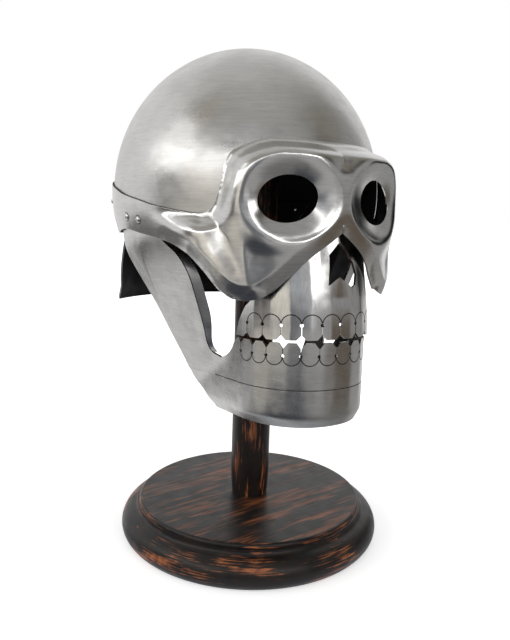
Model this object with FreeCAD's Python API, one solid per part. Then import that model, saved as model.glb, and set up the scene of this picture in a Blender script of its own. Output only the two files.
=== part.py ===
import FreeCAD
import Part
import math
import os

# Steel skull helmet on a turned wooden stand. Millimetres. The origin is the centre of the stand's foot.
# +Z is up, the face looks toward -Y and the wearer's right side is -X.

os.makedirs("parts", exist_ok=True)
V = FreeCAD.Vector

# Sheet metal
SHEET = 1.6
LAP_GAP = 0.1
RIVET_SHANK_R = 1.7
RIVET_HEAD_R = 2.6
RIVET_HEAD_H = 1.7

# Skull bowl: half of an ellipsoid, and a little more
BOWL_X = 101.6
BOWL_Y = 118.6
BOWL_Z = 111.0
BOWL_CENTRE = V(0, 24.7, 276.7)

# Lower edge of the bowl in side view: distance from the front, height
BOWL_EDGE = [(150, 262), (70, 262), (20, 250.5), (-38, 249), (-58, 251), (-74, 297), (-150, 297)]

# Face mask
BROW_Z = 309.0
CHEEK_Z = 204.0
FACE_REACH = 130.0
FACE_HALF = 103.6
EYE_X = 34.3
EYE_Y = -93.6
EYE_Z = 270.9
EYE_HALF_W = 19.7
EYE_HALF_H = 14.7
EYE_TURN = 21.8
EYE_NOD = -8.2
EYE_DROOP = -8.2
SOCKET_ANGLE = 19.8
SOCKET_MM_PER_DEGREE = 1.9
SOCKET_HALF_W = 31.0
SOCKET_HALF_H = 28.5
SOCKET_RISE = 6.0
SOCKET_OUTER_RISE = 2.0
SOCKET_DEPTH = 10.5
RIM_SPREAD = 0.3
FUNNEL_SPREAD = 0.45
BRIDGE_ANGLE = 6.5
SWELL_WIDTH = 12.0
EDGE_FADE = 8.0
BEVEL_WIDTH = 10.0
BEVEL_RISE = 5.0
BEVEL_FADE = 13.0
MM_PER_DEGREE = 2.0
FRONT_ANGLE = 44
TEMPLE_ANGLE = 78
CHEEKBONE = (52, 249)
CHEEKBONE_RISE = 2.0
CHEEK_RIDGE = [(35.8, 259), (34.5, 237), (33, 218), (31.3, 212)]
CHEEK_RISE = 5.0
CHEEK_WIDTH = 12.0

# Mask outline, wearer's left half: angle round the skull from the nose in degrees, height
MASK_TOP = [(126, 287), (111, 282), (98, 277), (89, 272.6), (77, 268), (69, 264.5), (57, 261), (49, 259.6),
            (45.6, 261.5), (43.4, 266), (41.6, 275), (40.6, 284), (40.2, 291), (38, 299), (34.6, 303),
            (29, 307), (24, BROW_Z)]
MASK_FOOT = [(126, 242), (111, 243), (92, 247), (79, 244.6), (64, 240.2), (55, 233), (48.6, 222.4),
             (44.5, 213.7), (41, 208.2), (37, 204.6), (33, CHEEK_Z)]
MASK_ARCH = [(33, CHEEK_Z), (29, 205.8), (26.4, 208), (23, 212.5), (18.7, 220.2), (14.3, 228.6),
             (9.7, 236.2), (4.2, 243.6), (0, 249.2)]

# Upper jaw plate
UPPER_HALF = 49.7
UPPER_REACH = 61.4
UPPER_Y = -51.65
UPPER_POWER = 2.27
UPPER_TOP_Z = 260.0
UPPER_TOOTH = 14.0
UPPER_HOLE_Z = 189.5
UPPER_BITE_Z = 179.6
UPPER_LEAN = 11.8
UPPER_SIDE_LEAN = 0.35
FLUTE_RISE = 0.9
FLUTE_HIGH_Z = 222.0
NASAL_RISE = 4.0
NASAL_HALF = 14.0
NASAL_LOW_Z = 207.0
NASAL_HIGH_Z = 232.0

# Nose opening and a drilled hole beside it, seen from the front: distance from the middle, height
NOSE_OPENING = [(-0.5, 243), (-7.2, 235), (-7.4, 227.3), (-8.4, 214.8), (-0.4, 220.6), (12, 213.2),
                (15.6, 215), (17.6, 221.6), (15, 229.6), (9, 237)]
NOSE_DOT = (-16.6, 232.1)
NOSE_DOT_R = 0.9

# Rear edge of the upper jaw plate in side view: distance from the front, height
UPPER_REAR = [(-57.5, 170), (-58.8, 177), (-61.8, 187), (-68.2, 198.4), (-73, 203), (-76, 208), (-76, 235)]

# Upper corner cut off behind the mask, seen from the front: distance from the middle, height
UPPER_WING = [(80, 262), (80, 200), (60, 208), (44, 222), (26, 240), (12, 252), (8, 262)]

# Lower jaw
LOWER_HALF = 47.0
LOWER_REACH = 59.0
LOWER_Y = -53.7
LOWER_POWER = 2.17
JAW_FRONT_Y = LOWER_Y - LOWER_REACH
LOWER_TOOTH = 12.4
LOWER_START = -2.8
LOWER_HOLE_Z = 168.4
LOWER_BITE_Z = 177.4
SEAM_Z = 145.3
CREASE_Z = 125.9
FLANGE_Z = 118.5
FLANGE_INSET = 3.6
JAW_SLOPE = -0.05
JAW_REAR_Y = 4.0
JAW_REAR_HALF = 50.0

# Gaps between the teeth: drilled hole, saw slit and corners filed off (depth, half width)
TOOTH_HOLE_R = 1.35
SLIT_HALF = 0.3
UPPER_CORNER = (3.2, 3.4)
LOWER_CORNER = (3.8, 3.2)

# Jaw arm outline in side view: distance from the front, height
ARM_FRONT = [(-8, 264), (-10, 250), (-17.7, 240.4), (-28, 231.8), (-32.4, 223), (-33.2, 213.2),
             (-31.3, 198.5), (-28.4, 179.5), (-25.2, 165), (-27.5, 158.6), (-36, 156)]
ARM_REAR = [(7.8, 141.2), (10.3, 157.5), (14.3, 171), (17.6, 185), (23, 198.6), (29.4, 211.4),
            (38.3, 228), (46, 241), (44, 254), (38, 262)]
SHOULDER = [(-36, 156), (-43, 158.9), (-47.3, 162.3), (-50.3, 166.5), (-51.8, 170), (-56.5, 174.6),
            (-58, 190)]
ARM_JOIN_Y = -36.0
ARM_FLANGE = 7.0
ARM_FLANGE_FOOT_Z = 158.0
ARM_FLANGE_FULL_Z = 192.0
ARM_TOP_Z = 247.0
ARM_SLOPE = 0.43

# Rear end of the chin band in side view
CHIN_REAR = [(-26, 100), (-22, 116), (-10, 124.5), (3, 131), (7.2, 139.4), (9, 160)]

# Neck guard
GUARD_FOOT_Z = 183.0
GUARD_TOP_Z = 275.0
GUARD_LAP_Z = 240.0
GUARD_FOOT_R = 114.0
GUARD_FOOT_Y = 21.0
GUARD_TOP_ANGLE = 72.0
GUARD_FOOT_ANGLE = 42.0
GUARD_LIP = 3.0

# Places of the rivets: angle round the skull from the nose in degrees, height
TEMPLE_RIVETS = [(86.9, 256.1), (78.4, 254.2)]
GUARD_RIVET_END = 116.0
GUARD_RIVET_Z = 268.5
PIN_Z = 253.5
PIN_R = 0.8
PIN_GRIP = 7.0

# Stand
FOOT_R = 106.6
DISC_R = 92.2
DISC_Z = 28.3
POST_R = 15.84
POST_FOOT_R = 14.6
TENON_R = 10.0
HEAD_R = 38.0
HEAD_H = 36.0
HEAD_TOP_Z = 371.6
SCREW_R = 2.2
SCREW_HEAD_R = 4.4
SCREW_SINK = 1.0
SCREW_LENGTH = 48.0
RECESS_LENGTH = 5.2
RECESS_WIDTH = 1.1
RECESS_DEPTH = 2.4

# Liner
LEATHER = 2.0
BAND_TOP_Z = 324.0
BAND_FOOT_Z = 300.0
TONGUES = 8
TONGUE_TOP_Z = 370.5
CORD_RING_R = 17.0
CORD_R = 1.5
HEAD_CENTRE = V(0, 12, 270)
TONGUE_SHARE = 0.86
TONGUE_TAPER = 0.12


def smooth(value, low, high):
    t = min(max((value - low) / (high - low), 0.0), 1.0)
    return t * t * (3 - 2 * t)


def distance_to(points, x, y):
    best = 1e9
    for (ax, ay), (bx, by) in zip(points, points[1:]):
        dx = bx - ax
        dy = by - ay
        t = max(0.0, min(1.0, ((x - ax) * dx + (y - ay) * dy) / (dx * dx + dy * dy)))
        best = min(best, math.hypot(x - ax - t * dx, y - ay - t * dy))
    return best


def below(points, x):
    """Height of an outline at one angle; the outline runs from large angles to small."""
    for (ax, ay), (bx, by) in zip(points, points[1:]):
        if bx <= x <= ax:
            return ay + (by - ay) * (ax - x) / (ax - bx)
    return points[-1][1] if x < points[-1][0] else points[0][1]


def unrolled(points):
    return [(angle * MM_PER_DEGREE, z) for angle, z in points]


TOP_LINE = unrolled(MASK_TOP + [(0, BROW_Z)])
RIDGE_LINE = unrolled(CHEEK_RIDGE)
FOOT_LINE = unrolled(MASK_FOOT[4:] + MASK_ARCH[1:])


def bowl_scale(z):
    lift = (z - BOWL_CENTRE.z) / BOWL_Z
    return math.sqrt(max(1 - lift * lift, 0.05))


def relief(side, z):
    """How far the embossing stands off the plain face at an angle and a height."""
    s = (side - SOCKET_ANGLE) * SOCKET_MM_PER_DEGREE
    r = math.hypot(s / SOCKET_HALF_W, (z - EYE_Z) / SOCKET_HALF_H)
    outer = SOCKET_OUTER_RISE * smooth(side, 18, 32)
    if r > 1:
        rim = (SOCKET_RISE + outer) * math.exp(-((r - 1) / RIM_SPREAD) ** 2)
    else:
        sink = min((1 - r) / FUNNEL_SPREAD, 1.3) * smooth(1 - r, -0.05, 0.12)
        rim = SOCKET_RISE + outer - (SOCKET_DEPTH + outer) * sink
    bridge = SOCKET_RISE * math.exp(-(side / BRIDGE_ANGLE) ** 2) * smooth(z, 240, 262) * (1 - smooth(z, 285, 300))
    cheek = CHEEKBONE_RISE * math.exp(-((side - CHEEKBONE[0]) / 6) ** 2 - ((z - CHEEKBONE[1]) / 8) ** 2)
    facet = CHEEK_RISE * (1 - distance_to(RIDGE_LINE, side * MM_PER_DEGREE, z) / CHEEK_WIDTH)
    return max(rim, bridge, facet) + cheek


def mask_point(angle, z):
    """Outer face of the mask at an angle round the skull and a height."""
    side = abs(angle)
    inside_top = distance_to(TOP_LINE, side * MM_PER_DEGREE, z)
    if z > below(MASK_TOP + [(0, BROW_Z)], side):
        inside_top = 0.0
    swell = smooth(inside_top, 0, SWELL_WIDTH)
    front = 1 - smooth(side, FRONT_ANGLE, TEMPLE_ANGLE)
    k = bowl_scale(z)
    plain_a = BOWL_X * k + SHEET + LAP_GAP
    plain_b = BOWL_Y * k + SHEET + LAP_GAP
    low_front = front * (1 - smooth(z, 255, 285)) if z < BOWL_CENTRE.z + 10 else 0.0
    a = plain_a + (FACE_HALF - plain_a) * low_front
    b = plain_b + (FACE_REACH - plain_b) * front * swell
    edge = distance_to(FOOT_LINE, side * MM_PER_DEGREE, z)
    ridge = edge / BEVEL_WIDTH if edge < BEVEL_WIDTH else math.exp(-((edge - BEVEL_WIDTH) / BEVEL_FADE) ** 2)
    embossed = max(relief(side, z), BEVEL_RISE * ridge * (1 - smooth(side, 56, 74)))
    h = embossed * front * smooth(inside_top, 0, EDGE_FADE)
    t = math.radians(angle)
    return V((a + h) * math.sin(t), BOWL_CENTRE.y - (b + h) * math.cos(t), z)


def closed_sheet(outer, inner):
    """A solid between two grids of points, one each side of a sheet."""
    faces = []
    for grid in (outer, inner):
        surface = Part.BSplineSurface()
        surface.interpolate(grid)
        faces.append(surface.toShape())
    walls = [Part.makeRuledSurface(faces[0].Edges[i], faces[1].Edges[i]) for i in range(4)]
    shell = Part.makeShell(faces + walls)
    shell.sewShape()
    solid = Part.Solid(shell)
    if solid.Volume < 0:
        solid.reverse()
    return solid


def sheet_solid(point, us, vs, thickness):
    """A sheet between the surface point(u, v) and its inward offset."""
    outer = [[point(u, v) for v in vs] for u in us]
    inner = []
    du = (us[-1] - us[0]) / 500
    for u, row in zip(us, outer):
        inner_row = []
        for v, p in zip(vs, row):
            along = point(u + du, v) - point(u - du, v)
            up = point(u, v + 0.4) - point(u, v - 0.4)
            normal = along.cross(up)
            normal.normalize()
            inner_row.append(p - normal * thickness)
        inner.append(inner_row)
    return closed_sheet(outer, inner)


def steps(low, high, count):
    return [low + (high - low) * i / count for i in range(count + 1)]


def curve(points):
    spline = Part.BSplineCurve()
    spline.interpolate(points)
    return spline.toShape()


def lines(points):
    return [Part.makeLine(a, b) for a, b in zip(points, points[1:])]


def prism(edges, direction):
    wire = Part.Wire(Part.__sortEdges__(edges))
    return Part.Face(wire).extrude(direction)


def write(shape, name):
    shape.exportStep("parts/" + name + ".step")


# Skull bowl


def ellipsoid(grow):
    matrix = FreeCAD.Matrix()
    matrix.A11 = BOWL_X + grow
    matrix.A22 = BOWL_Y + grow
    matrix.A33 = BOWL_Z + grow
    ball = Part.makeSphere(1.0).transformGeometry(matrix)
    ball.translate(BOWL_CENTRE)
    return ball


def bowl_edge_cut():
    """Everything under the bowl's lower edge, as one prism along X."""
    edge = [V(-150, y, z) for y, z in BOWL_EDGE]
    floor = [edge[-1], V(-150, -150, 100), V(-150, 150, 100), edge[0]]
    return prism(lines(edge) + lines(floor), V(300, 0, 0))


def skull_bowl():
    return ellipsoid(0).cut(ellipsoid(-SHEET)).cut(bowl_edge_cut())


# Face mask


def outline_points(points, side_view):
    found = []
    for angle, z in points:
        p = mask_point(angle, z)
        found.append(V(-160, p.y, z) if side_view else V(p.x, -160, z))
    return found


def eye_frame(side):
    turn = math.radians(EYE_TURN)
    nod = math.radians(EYE_NOD)
    droop = math.radians(EYE_DROOP)
    normal = V(side * math.sin(turn) * math.cos(nod), -math.cos(turn) * math.cos(nod), math.sin(nod))
    across = V(side * math.cos(turn), math.sin(turn), 0)
    up = normal.cross(across)
    up = up * (1 if up.z > 0 else -1)
    long_axis = across * math.cos(droop) + up * math.sin(droop)
    short_axis = up * math.cos(droop) - across * math.sin(droop)
    return normal, long_axis, short_axis


def eye_cutter(side):
    normal, long_axis, short_axis = eye_frame(side)
    centre = V(side * EYE_X, EYE_Y, EYE_Z) - normal * 25
    ellipse = Part.Ellipse(centre + long_axis * EYE_HALF_W, centre + short_axis * EYE_HALF_H, centre)
    return Part.Face(Part.Wire(ellipse.toShape())).extrude(normal * 60)


def face_mask():
    rear = steps(54, 126, 9)
    angles = [-angle for angle in rear[::-1]] + steps(-51, 51, 34) + rear
    heights = steps(198, 313, 40)
    mask = sheet_solid(mask_point, angles, heights, SHEET)
    top = outline_points(MASK_TOP, True)
    over = [top[-1], V(-160, -160, BROW_Z), V(-160, -160, 400), V(-160, 160, 400), V(-160, 160, top[0].z)]
    over.append(top[0])
    mask = mask.cut(prism([curve(top)] + lines(over), V(320, 0, 0)))
    foot = outline_points(MASK_FOOT, True)
    under = [foot[-1], V(-160, -160, CHEEK_Z), V(-160, -160, 150), V(-160, 160, 150), V(-160, 160, foot[0].z)]
    under.append(foot[0])
    mask = mask.cut(prism([curve(foot)] + lines(under), V(320, 0, 0)))
    left = outline_points(MASK_ARCH, False)
    right = [V(-p.x, p.y, p.z) for p in left]
    base = [left[0], V(left[0].x, -160, 150), V(right[0].x, -160, 150), right[0]]
    mask = mask.cut(prism([curve(left), curve(right)] + lines(base), V(0, 150, 0)))
    for side in (-1, 1):
        mask = mask.cut(eye_cutter(side))
    return mask


# Jaws


def jaw_curve(half, reach, centre_y, power, t, grow=0.0):
    """Point of a squared-off half ellipse; t runs from -90 at one side to 90 at the other."""
    angle = math.radians(t)
    c = abs(math.cos(angle)) ** (2 / power)
    s = abs(math.sin(angle)) ** (2 / power)
    x = math.copysign((half + grow) * s, t)
    return V(x, centre_y - (reach + grow) * c, 0)


class Arch:
    """The plan curve of a jaw, walked by distance from its middle."""

    def __init__(self, half, reach, centre_y, power, rear):
        here = jaw_curve(half, reach, centre_y, power, 0)
        self.track = [(0.0, here)]
        points = [jaw_curve(half, reach, centre_y, power, t) for t in steps(0, 87, 174)[1:]]
        for point in points + [rear]:
            self.track.append((self.track[-1][0] + point.sub(here).Length, point))
            here = point

    def at(self, walked):
        for (s0, p0), (s1, p1) in zip(self.track, self.track[1:]):
            if abs(walked) <= s1:
                p = p0 + (p1 - p0) * ((abs(walked) - s0) / (s1 - s0))
                return V(math.copysign(p.x, walked), p.y, 0)
        p = self.track[-1][1]
        return V(math.copysign(p.x, walked), p.y, 0)

    def outward(self, walked):
        along = self.at(walked + 0.4) - self.at(walked - 0.4)
        normal = V(along.y, -along.x, 0)
        normal.normalize()
        return normal


UPPER = Arch(UPPER_HALF, UPPER_REACH, UPPER_Y, UPPER_POWER, V(UPPER_HALF, 0, 0))
LOWER = Arch(LOWER_HALF, LOWER_REACH, LOWER_Y, LOWER_POWER, V(JAW_REAR_HALF, JAW_REAR_Y, 0))


def gap_cutter(arch, walked, hole_z, bite_z, corner, downward):
    """The drilled hole, the saw slit and the open corner between two teeth."""
    p = arch.at(walked)
    out = arch.outward(walked)
    lean = JAW_SLOPE * (p.y - arch.at(0).y)
    depth, width = corner
    hole = Part.makeCylinder(TOOTH_HOLE_R, 16, V(p.x, p.y, hole_z + lean) - out * 8, out)
    sign = -1 if downward else 1
    side = V(-out.y, out.x, 0)
    mouth = bite_z + lean + sign * 2
    tip = bite_z + lean - sign * depth
    start = V(p.x, p.y, 0) - out * 8
    half = width * (depth + 2) / depth
    notch = [start + side * half + V(0, 0, mouth), start + V(0, 0, tip), start - side * half + V(0, 0, mouth)]
    low = min(hole_z + lean, tip + sign)
    high = max(hole_z + lean, tip + sign)
    slit = [start + side * offset + V(0, 0, z) for offset, z in
            ((SLIT_HALF, low), (SLIT_HALF, high), (-SLIT_HALF, high), (-SLIT_HALF, low))]
    return hole.fuse([prism(lines(ring + [ring[0]]), out * 16) for ring in (notch, slit)])


def upper_section(z, rise):
    """Closed plan outline of the fluted plate at one height."""
    lean = 1 - (UPPER_LEAN / UPPER_REACH) * max(z - 190, 0) / 60
    nasal = NASAL_RISE * min(max((z - NASAL_LOW_Z) / (NASAL_HIGH_Z - NASAL_LOW_Z), 0), 1)
    half_steps = 12
    outer = []
    inner = []
    for i in range(-half_steps, half_steps + 1):
        walked = i * UPPER_TOOTH / 2
        crest = rise if i % 2 else 0.0
        p = UPPER.at(walked)
        out = UPPER.outward(walked)
        ridge = nasal * max(1 - abs(walked) / NASAL_HALF, 0)
        p = V(p.x * (1 - UPPER_SIDE_LEAN * (1 - lean)), UPPER_Y + (p.y - UPPER_Y) * lean - ridge, 0)
        outer.append(p + out * crest)
        inner.append(p + out * (crest - SHEET))
    ring = outer + inner[::-1] + [outer[0]]
    return [V(p.x, p.y, z + JAW_SLOPE * (p.y - UPPER.at(0).y)) for p in ring]


def upper_jaw_plate():
    levels = [(176, FLUTE_RISE), (NASAL_LOW_Z, FLUTE_RISE), (FLUTE_HIGH_Z, 0.0), (NASAL_HIGH_Z, 0.0),
              (UPPER_TOP_Z, 0.0)]
    plate = Part.makeLoft([Part.makePolygon(upper_section(z, rise)) for z, rise in levels], True, True)
    foot = Part.makeBox(200, 200, 60, V(-100, -114, UPPER_BITE_Z - 60))
    foot.rotate(V(0, -113, UPPER_BITE_Z), V(1, 0, 0), math.degrees(math.atan(JAW_SLOPE)))
    plate = plate.cut(foot)
    for i in range(-5, 6):
        plate = plate.cut(gap_cutter(UPPER, i * UPPER_TOOTH, UPPER_HOLE_Z, UPPER_BITE_Z, UPPER_CORNER, True))
    nose = [V(x, -140, z) for x, z in NOSE_OPENING]
    plate = plate.cut(prism(lines(nose + [nose[0]]), V(0, 50, 0)))
    plate = plate.cut(Part.makeCylinder(NOSE_DOT_R, 50, V(NOSE_DOT[0], -140, NOSE_DOT[1]), V(0, 1, 0)))
    rear = [V(-100, y, z) for y, z in UPPER_REAR] + [V(-100, -40, 235), V(-100, -40, 170)]
    plate = plate.cut(prism(lines(rear + [rear[0]]), V(200, 0, 0)))
    for side in (-1, 1):
        wing = [V(side * x, -140, z) for x, z in UPPER_WING]
        plate = plate.cut(prism(lines(wing + [wing[0]]), V(0, 160, 0)))
    return plate


def jaw_outline(grow):
    """Open plan curve of the lower jaw from its right rear end to its left one."""
    points = [jaw_curve(LOWER_HALF, LOWER_REACH, LOWER_Y, LOWER_POWER, t, grow) for t in steps(-84, 84, 28)]
    rear = V(JAW_REAR_HALF + grow, JAW_REAR_Y, 0)
    middle = V((JAW_REAR_HALF + LOWER_HALF) / 2 + grow, (JAW_REAR_Y + LOWER_Y) / 2, 0)
    return [V(-rear.x, rear.y, 0), V(-middle.x, middle.y, 0)] + points + [middle, rear]


def jaw_section(grow, z):
    """Closed plan outline of the jaw sheet, level at the front and dropping toward the back."""
    outer = curve([V(p.x, p.y, z + JAW_SLOPE * (p.y - JAW_FRONT_Y)) for p in jaw_outline(grow)])
    inner = curve([V(p.x, p.y, z + JAW_SLOPE * (p.y - JAW_FRONT_Y)) for p in jaw_outline(grow - SHEET)])
    ends = [Part.makeLine(outer.Vertexes[i].Point, inner.Vertexes[i].Point) for i in (0, 1)]
    return Part.Wire(Part.__sortEdges__([outer, inner] + ends))


def soft_step(value, scale):
    """Zero below nought, the value itself above, with a rounded corner."""
    return scale * math.log1p(math.exp(min(value / scale, 30)))


def arm_x(y, z):
    """Outer face of the wearer's left jaw arm: a flat strap that leans out of the jaw to the skull's side."""
    k = bowl_scale(max(z, ARM_TOP_Z))
    a = BOWL_X * k - SHEET - LAP_GAP
    b = BOWL_Y * k - SHEET - LAP_GAP
    bend_y = max(y, -8.0)
    skull = a * math.sqrt(1 - ((bend_y - BOWL_CENTRE.y) / b) ** 2)
    skull = skull - (a / b) ** 2 * (BOWL_CENTRE.y - bend_y) / skull * (bend_y - y)
    jaw = LOWER_HALF + (JAW_REAR_HALF - LOWER_HALF) * (y - LOWER_Y) / (JAW_REAR_Y - LOWER_Y)
    lean_z = max(128.0, 156 - 0.6 * (y - ARM_JOIN_Y))
    strap = jaw + ARM_SLOPE * soft_step(z - lean_z, 4)
    return strap - soft_step(strap - skull, 2)


def side_sheet(s, z):
    y = ARM_JOIN_Y - 4 + s * 104
    return V(arm_x(y, z), y, z)


def arm_flange():
    """The front edge of the arm turned in toward the wearer's face, narrower toward its foot."""
    sections = []
    for y, z in ARM_FRONT[2:-1]:
        x = arm_x(y, z) - SHEET / 2
        width = ARM_FLANGE * (0.3 + 0.7 * smooth(z, ARM_FLANGE_FOOT_Z, ARM_FLANGE_FULL_Z))
        front = y + 0.2
        back = front + SHEET
        corners = [V(x, front, z), V(x, back, z), V(x - width, back - 2, z), V(x - width, front - 2, z)]
        sections.append(Part.makePolygon(corners + [corners[0]]))
    return Part.makeLoft(sections, True, False)


def arm():
    blank = sheet_solid(side_sheet, steps(0, 1, 12), steps(134, 268, 20), SHEET)
    front = curve([V(0, y, z) for y, z in ARM_FRONT])
    rear = curve([V(0, y, z) for y, z in ARM_REAR])
    foot = lines([V(0, *ARM_FRONT[-1]), V(0, ARM_JOIN_Y, jaw_level(SEAM_Z, ARM_JOIN_Y)),
                  V(0, 7.2, jaw_level(SEAM_Z, 7.2)), V(0, *ARM_REAR[0])])
    top = lines([V(0, *ARM_REAR[-1]), V(0, *ARM_FRONT[0])])
    return blank.common(prism([front, rear] + foot + top, V(120, 0, 0)))


def rear_cut():
    """Everything behind the slanting rear end of the jaw."""
    edge = [V(-100, y, z) for y, z in CHIN_REAR]
    return prism(lines(edge + [V(-100, 100, 160), V(-100, 100, 100), edge[0]]), V(200, 0, 0))


def jaw_level(z, y):
    """Height at y of a line that starts at z on the chin and drops toward the back."""
    return z + JAW_SLOPE * (y - JAW_FRONT_Y)


def mirrored(shape):
    return shape.mirror(V(0, 0, 0), V(1, 0, 0))


def mandible():
    plate = Part.makeLoft([jaw_section(0, SEAM_Z), jaw_section(0, LOWER_BITE_Z)], True, True)
    plate = plate.cut(behind_join())
    for i in range(-6, 7):
        walked = LOWER_START + i * LOWER_TOOTH
        plate = plate.cut(gap_cutter(LOWER, walked, LOWER_HOLE_Z, LOWER_BITE_Z, LOWER_CORNER, False))
    shoulder = [V(-100, y, z) for y, z in SHOULDER] + [V(-100, ARM_JOIN_Y + 4, SHOULDER[-1][1])]
    shoulder.append(V(-100, ARM_JOIN_Y + 4, SHOULDER[0][1]))
    plate = plate.cut(prism(lines(shoulder + [shoulder[0]]), V(200, 0, 0)))
    side = arm().fuse(arm_flange())
    return plate.fuse([side, mirrored(side)])


def behind_join():
    """The space of the arms, behind the curved front of the jaw."""
    return Part.makeBox(200, 80, 90, V(-100, ARM_JOIN_Y, 110))


def chin_side():
    """The band under one arm, with its turned-in foot."""
    sections = []
    for y in steps(ARM_JOIN_Y, 12, 4):
        wall = [(arm_x(y, z), z) for z in steps(jaw_level(SEAM_Z, y), jaw_level(CREASE_Z, y), 4)]
        foot = (wall[-1][0] - FLANGE_INSET, jaw_level(FLANGE_Z, y))
        outer = [V(x, y, z) for x, z in wall + [foot]]
        inner = [V(p.x - SHEET, y, p.z) for p in outer[::-1]]
        sections.append(Part.makePolygon(outer + inner + [outer[0]]))
    return Part.makeLoft(sections, True, True)


def chin_band():
    band = Part.makeLoft([jaw_section(0, CREASE_Z), jaw_section(0, SEAM_Z)], True, True)
    edge = Part.makeLoft([jaw_section(-FLANGE_INSET, FLANGE_Z), jaw_section(0, CREASE_Z)], True, True)
    front = band.fuse(edge).cut(behind_join())
    side = chin_side()
    return front.fuse([side, mirrored(side)]).cut(rear_cut())


# Neck guard


def guard_point(s, z):
    """Outer face of the guard; s runs from one front edge, round the back, to the other."""
    drop = min(max((GUARD_LAP_Z - z) / (GUARD_LAP_Z - GUARD_FOOT_Z), 0), 1)
    reach = GUARD_TOP_ANGLE + (GUARD_FOOT_ANGLE - GUARD_TOP_ANGLE) * min(
        max((GUARD_TOP_Z - z) / (GUARD_TOP_Z - GUARD_FOOT_Z), 0), 1)
    k = bowl_scale(max(z, GUARD_LAP_Z))
    flare = GUARD_LIP * smooth(z, GUARD_FOOT_Z + 14, GUARD_FOOT_Z)
    a = BOWL_X * k - SHEET - LAP_GAP
    b = BOWL_Y * k - SHEET - LAP_GAP
    a = a + (GUARD_FOOT_R - a) * drop + flare
    b = b + (GUARD_FOOT_R - b) * drop + flare
    centre_y = BOWL_CENTRE.y + (GUARD_FOOT_Y - BOWL_CENTRE.y) * drop
    t = math.radians(s * reach)
    return V(a * math.sin(-t), centre_y + b * math.cos(t), z)


def neck_guard():
    return sheet_solid(guard_point, steps(-1, 1, 24), steps(GUARD_FOOT_Z, GUARD_TOP_Z, 13), SHEET)


# Rivets


def cap(radius, z, height):
    """Profile of a spherical cap that stands on a circle and meets its axis squarely."""
    sign = 1 if height > 0 else -1
    ball = (radius * radius + height * height) / (2 * abs(height))
    centre = z + sign * (abs(height) - ball)
    half = math.acos((ball - abs(height)) / ball) / 2
    middle = V(ball * math.sin(half), 0, centre + sign * ball * math.cos(half))
    return Part.Arc(V(radius, 0, z), middle, V(0, 0, z + height)).toShape()


def rivet(point, outward, grip, shank_r, head_r, head_h):
    """A domed head outside, a shank through the sheets and a flatter upset head inside."""
    dome = cap(head_r, 0, head_h)
    tail = [V(head_r, 0, 0), V(shank_r, 0, 0), V(shank_r, 0, -grip), V(head_r * 0.85, 0, -grip)]
    upset = cap(head_r * 0.85, -grip, -head_h * 0.7)
    axis = [Part.makeLine(V(0, 0, -grip - head_h * 0.7), V(0, 0, head_h))]
    face = Part.Face(Part.Wire(Part.__sortEdges__([dome, upset] + lines(tail) + axis)))
    solid = face.revolve(V(0, 0, 0), V(0, 0, 1), 360)
    solid.Placement = FreeCAD.Placement(point, FreeCAD.Rotation(V(0, 0, 1), outward))
    return solid


def surface_normal(point, u, v):
    along = point(u + 0.3, v) - point(u - 0.3, v)
    up = point(u, v + 0.3) - point(u, v - 0.3)
    normal = along.cross(up)
    normal.normalize()
    return normal


def temple_rivets(side):
    group = []
    for angle, z in TEMPLE_RIVETS:
        p = mask_point(side * angle, z)
        n = surface_normal(mask_point, side * angle, z)
        group.append(rivet(p, n, 3 * SHEET + 3 * LAP_GAP, RIVET_SHANK_R, RIVET_HEAD_R, RIVET_HEAD_H))
    return group


def guard_rivet_places():
    """The end ones go through the mask's band too, the others through bowl and guard."""
    places = []
    for angle in (GUARD_RIVET_END, 145, 180, -145, -GUARD_RIVET_END):
        through_band = abs(angle) == GUARD_RIVET_END
        k = bowl_scale(GUARD_RIVET_Z)
        grow = SHEET + LAP_GAP if through_band else 0.0
        t = math.radians(angle)
        a = BOWL_X * k + grow
        b = BOWL_Y * k + grow
        p = V(a * math.sin(t), BOWL_CENTRE.y - b * math.cos(t), GUARD_RIVET_Z)
        n = V(math.sin(t) / a, -math.cos(t) / b, 0)
        n.normalize()
        places.append((p, n, 2 * SHEET + LAP_GAP + grow))
    return places


def guard_rivets():
    places = guard_rivet_places()
    return [rivet(p, n, grip, RIVET_SHANK_R, RIVET_HEAD_R, RIVET_HEAD_H) for p, n, grip in places]


def nose_pin():
    p = mask_point(0, PIN_Z)
    n = surface_normal(mask_point, 0, PIN_Z)
    return rivet(p, n, PIN_GRIP, PIN_R, PIN_R * 1.5, 0.4)


# Liner


def inner_shell(grow, thickness, low, high):
    """A leather layer that follows the inside of the bowl."""
    layer = ellipsoid(-grow).cut(ellipsoid(-grow - thickness))
    return layer.common(Part.makeBox(300, 300, high - low, V(-150, -150, low)))


def liner_headband():
    return inner_shell(SHEET + LAP_GAP, LEATHER, BAND_FOOT_Z, BAND_TOP_Z)


def crown_point(angle, s):
    """Inner dome of the tongues: s = 0 at the headband, 1 at the open ring under the crown."""
    t = math.radians(angle)
    k = bowl_scale(BAND_TOP_Z - 8)
    a = (BOWL_X * k - SHEET - LEATHER - 2 * LAP_GAP - 0.3) * (1 - s) + CORD_RING_R * s
    b = (BOWL_Y * k - SHEET - LEATHER - 2 * LAP_GAP - 0.3) * (1 - s) + CORD_RING_R * s
    centre_y = BOWL_CENTRE.y * (1 - s)
    z = BAND_TOP_Z - 8 + (TONGUE_TOP_Z - BAND_TOP_Z + 8) * math.sin(s * math.pi / 2)
    return V(a * math.sin(t), centre_y - b * math.cos(t), z)


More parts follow.
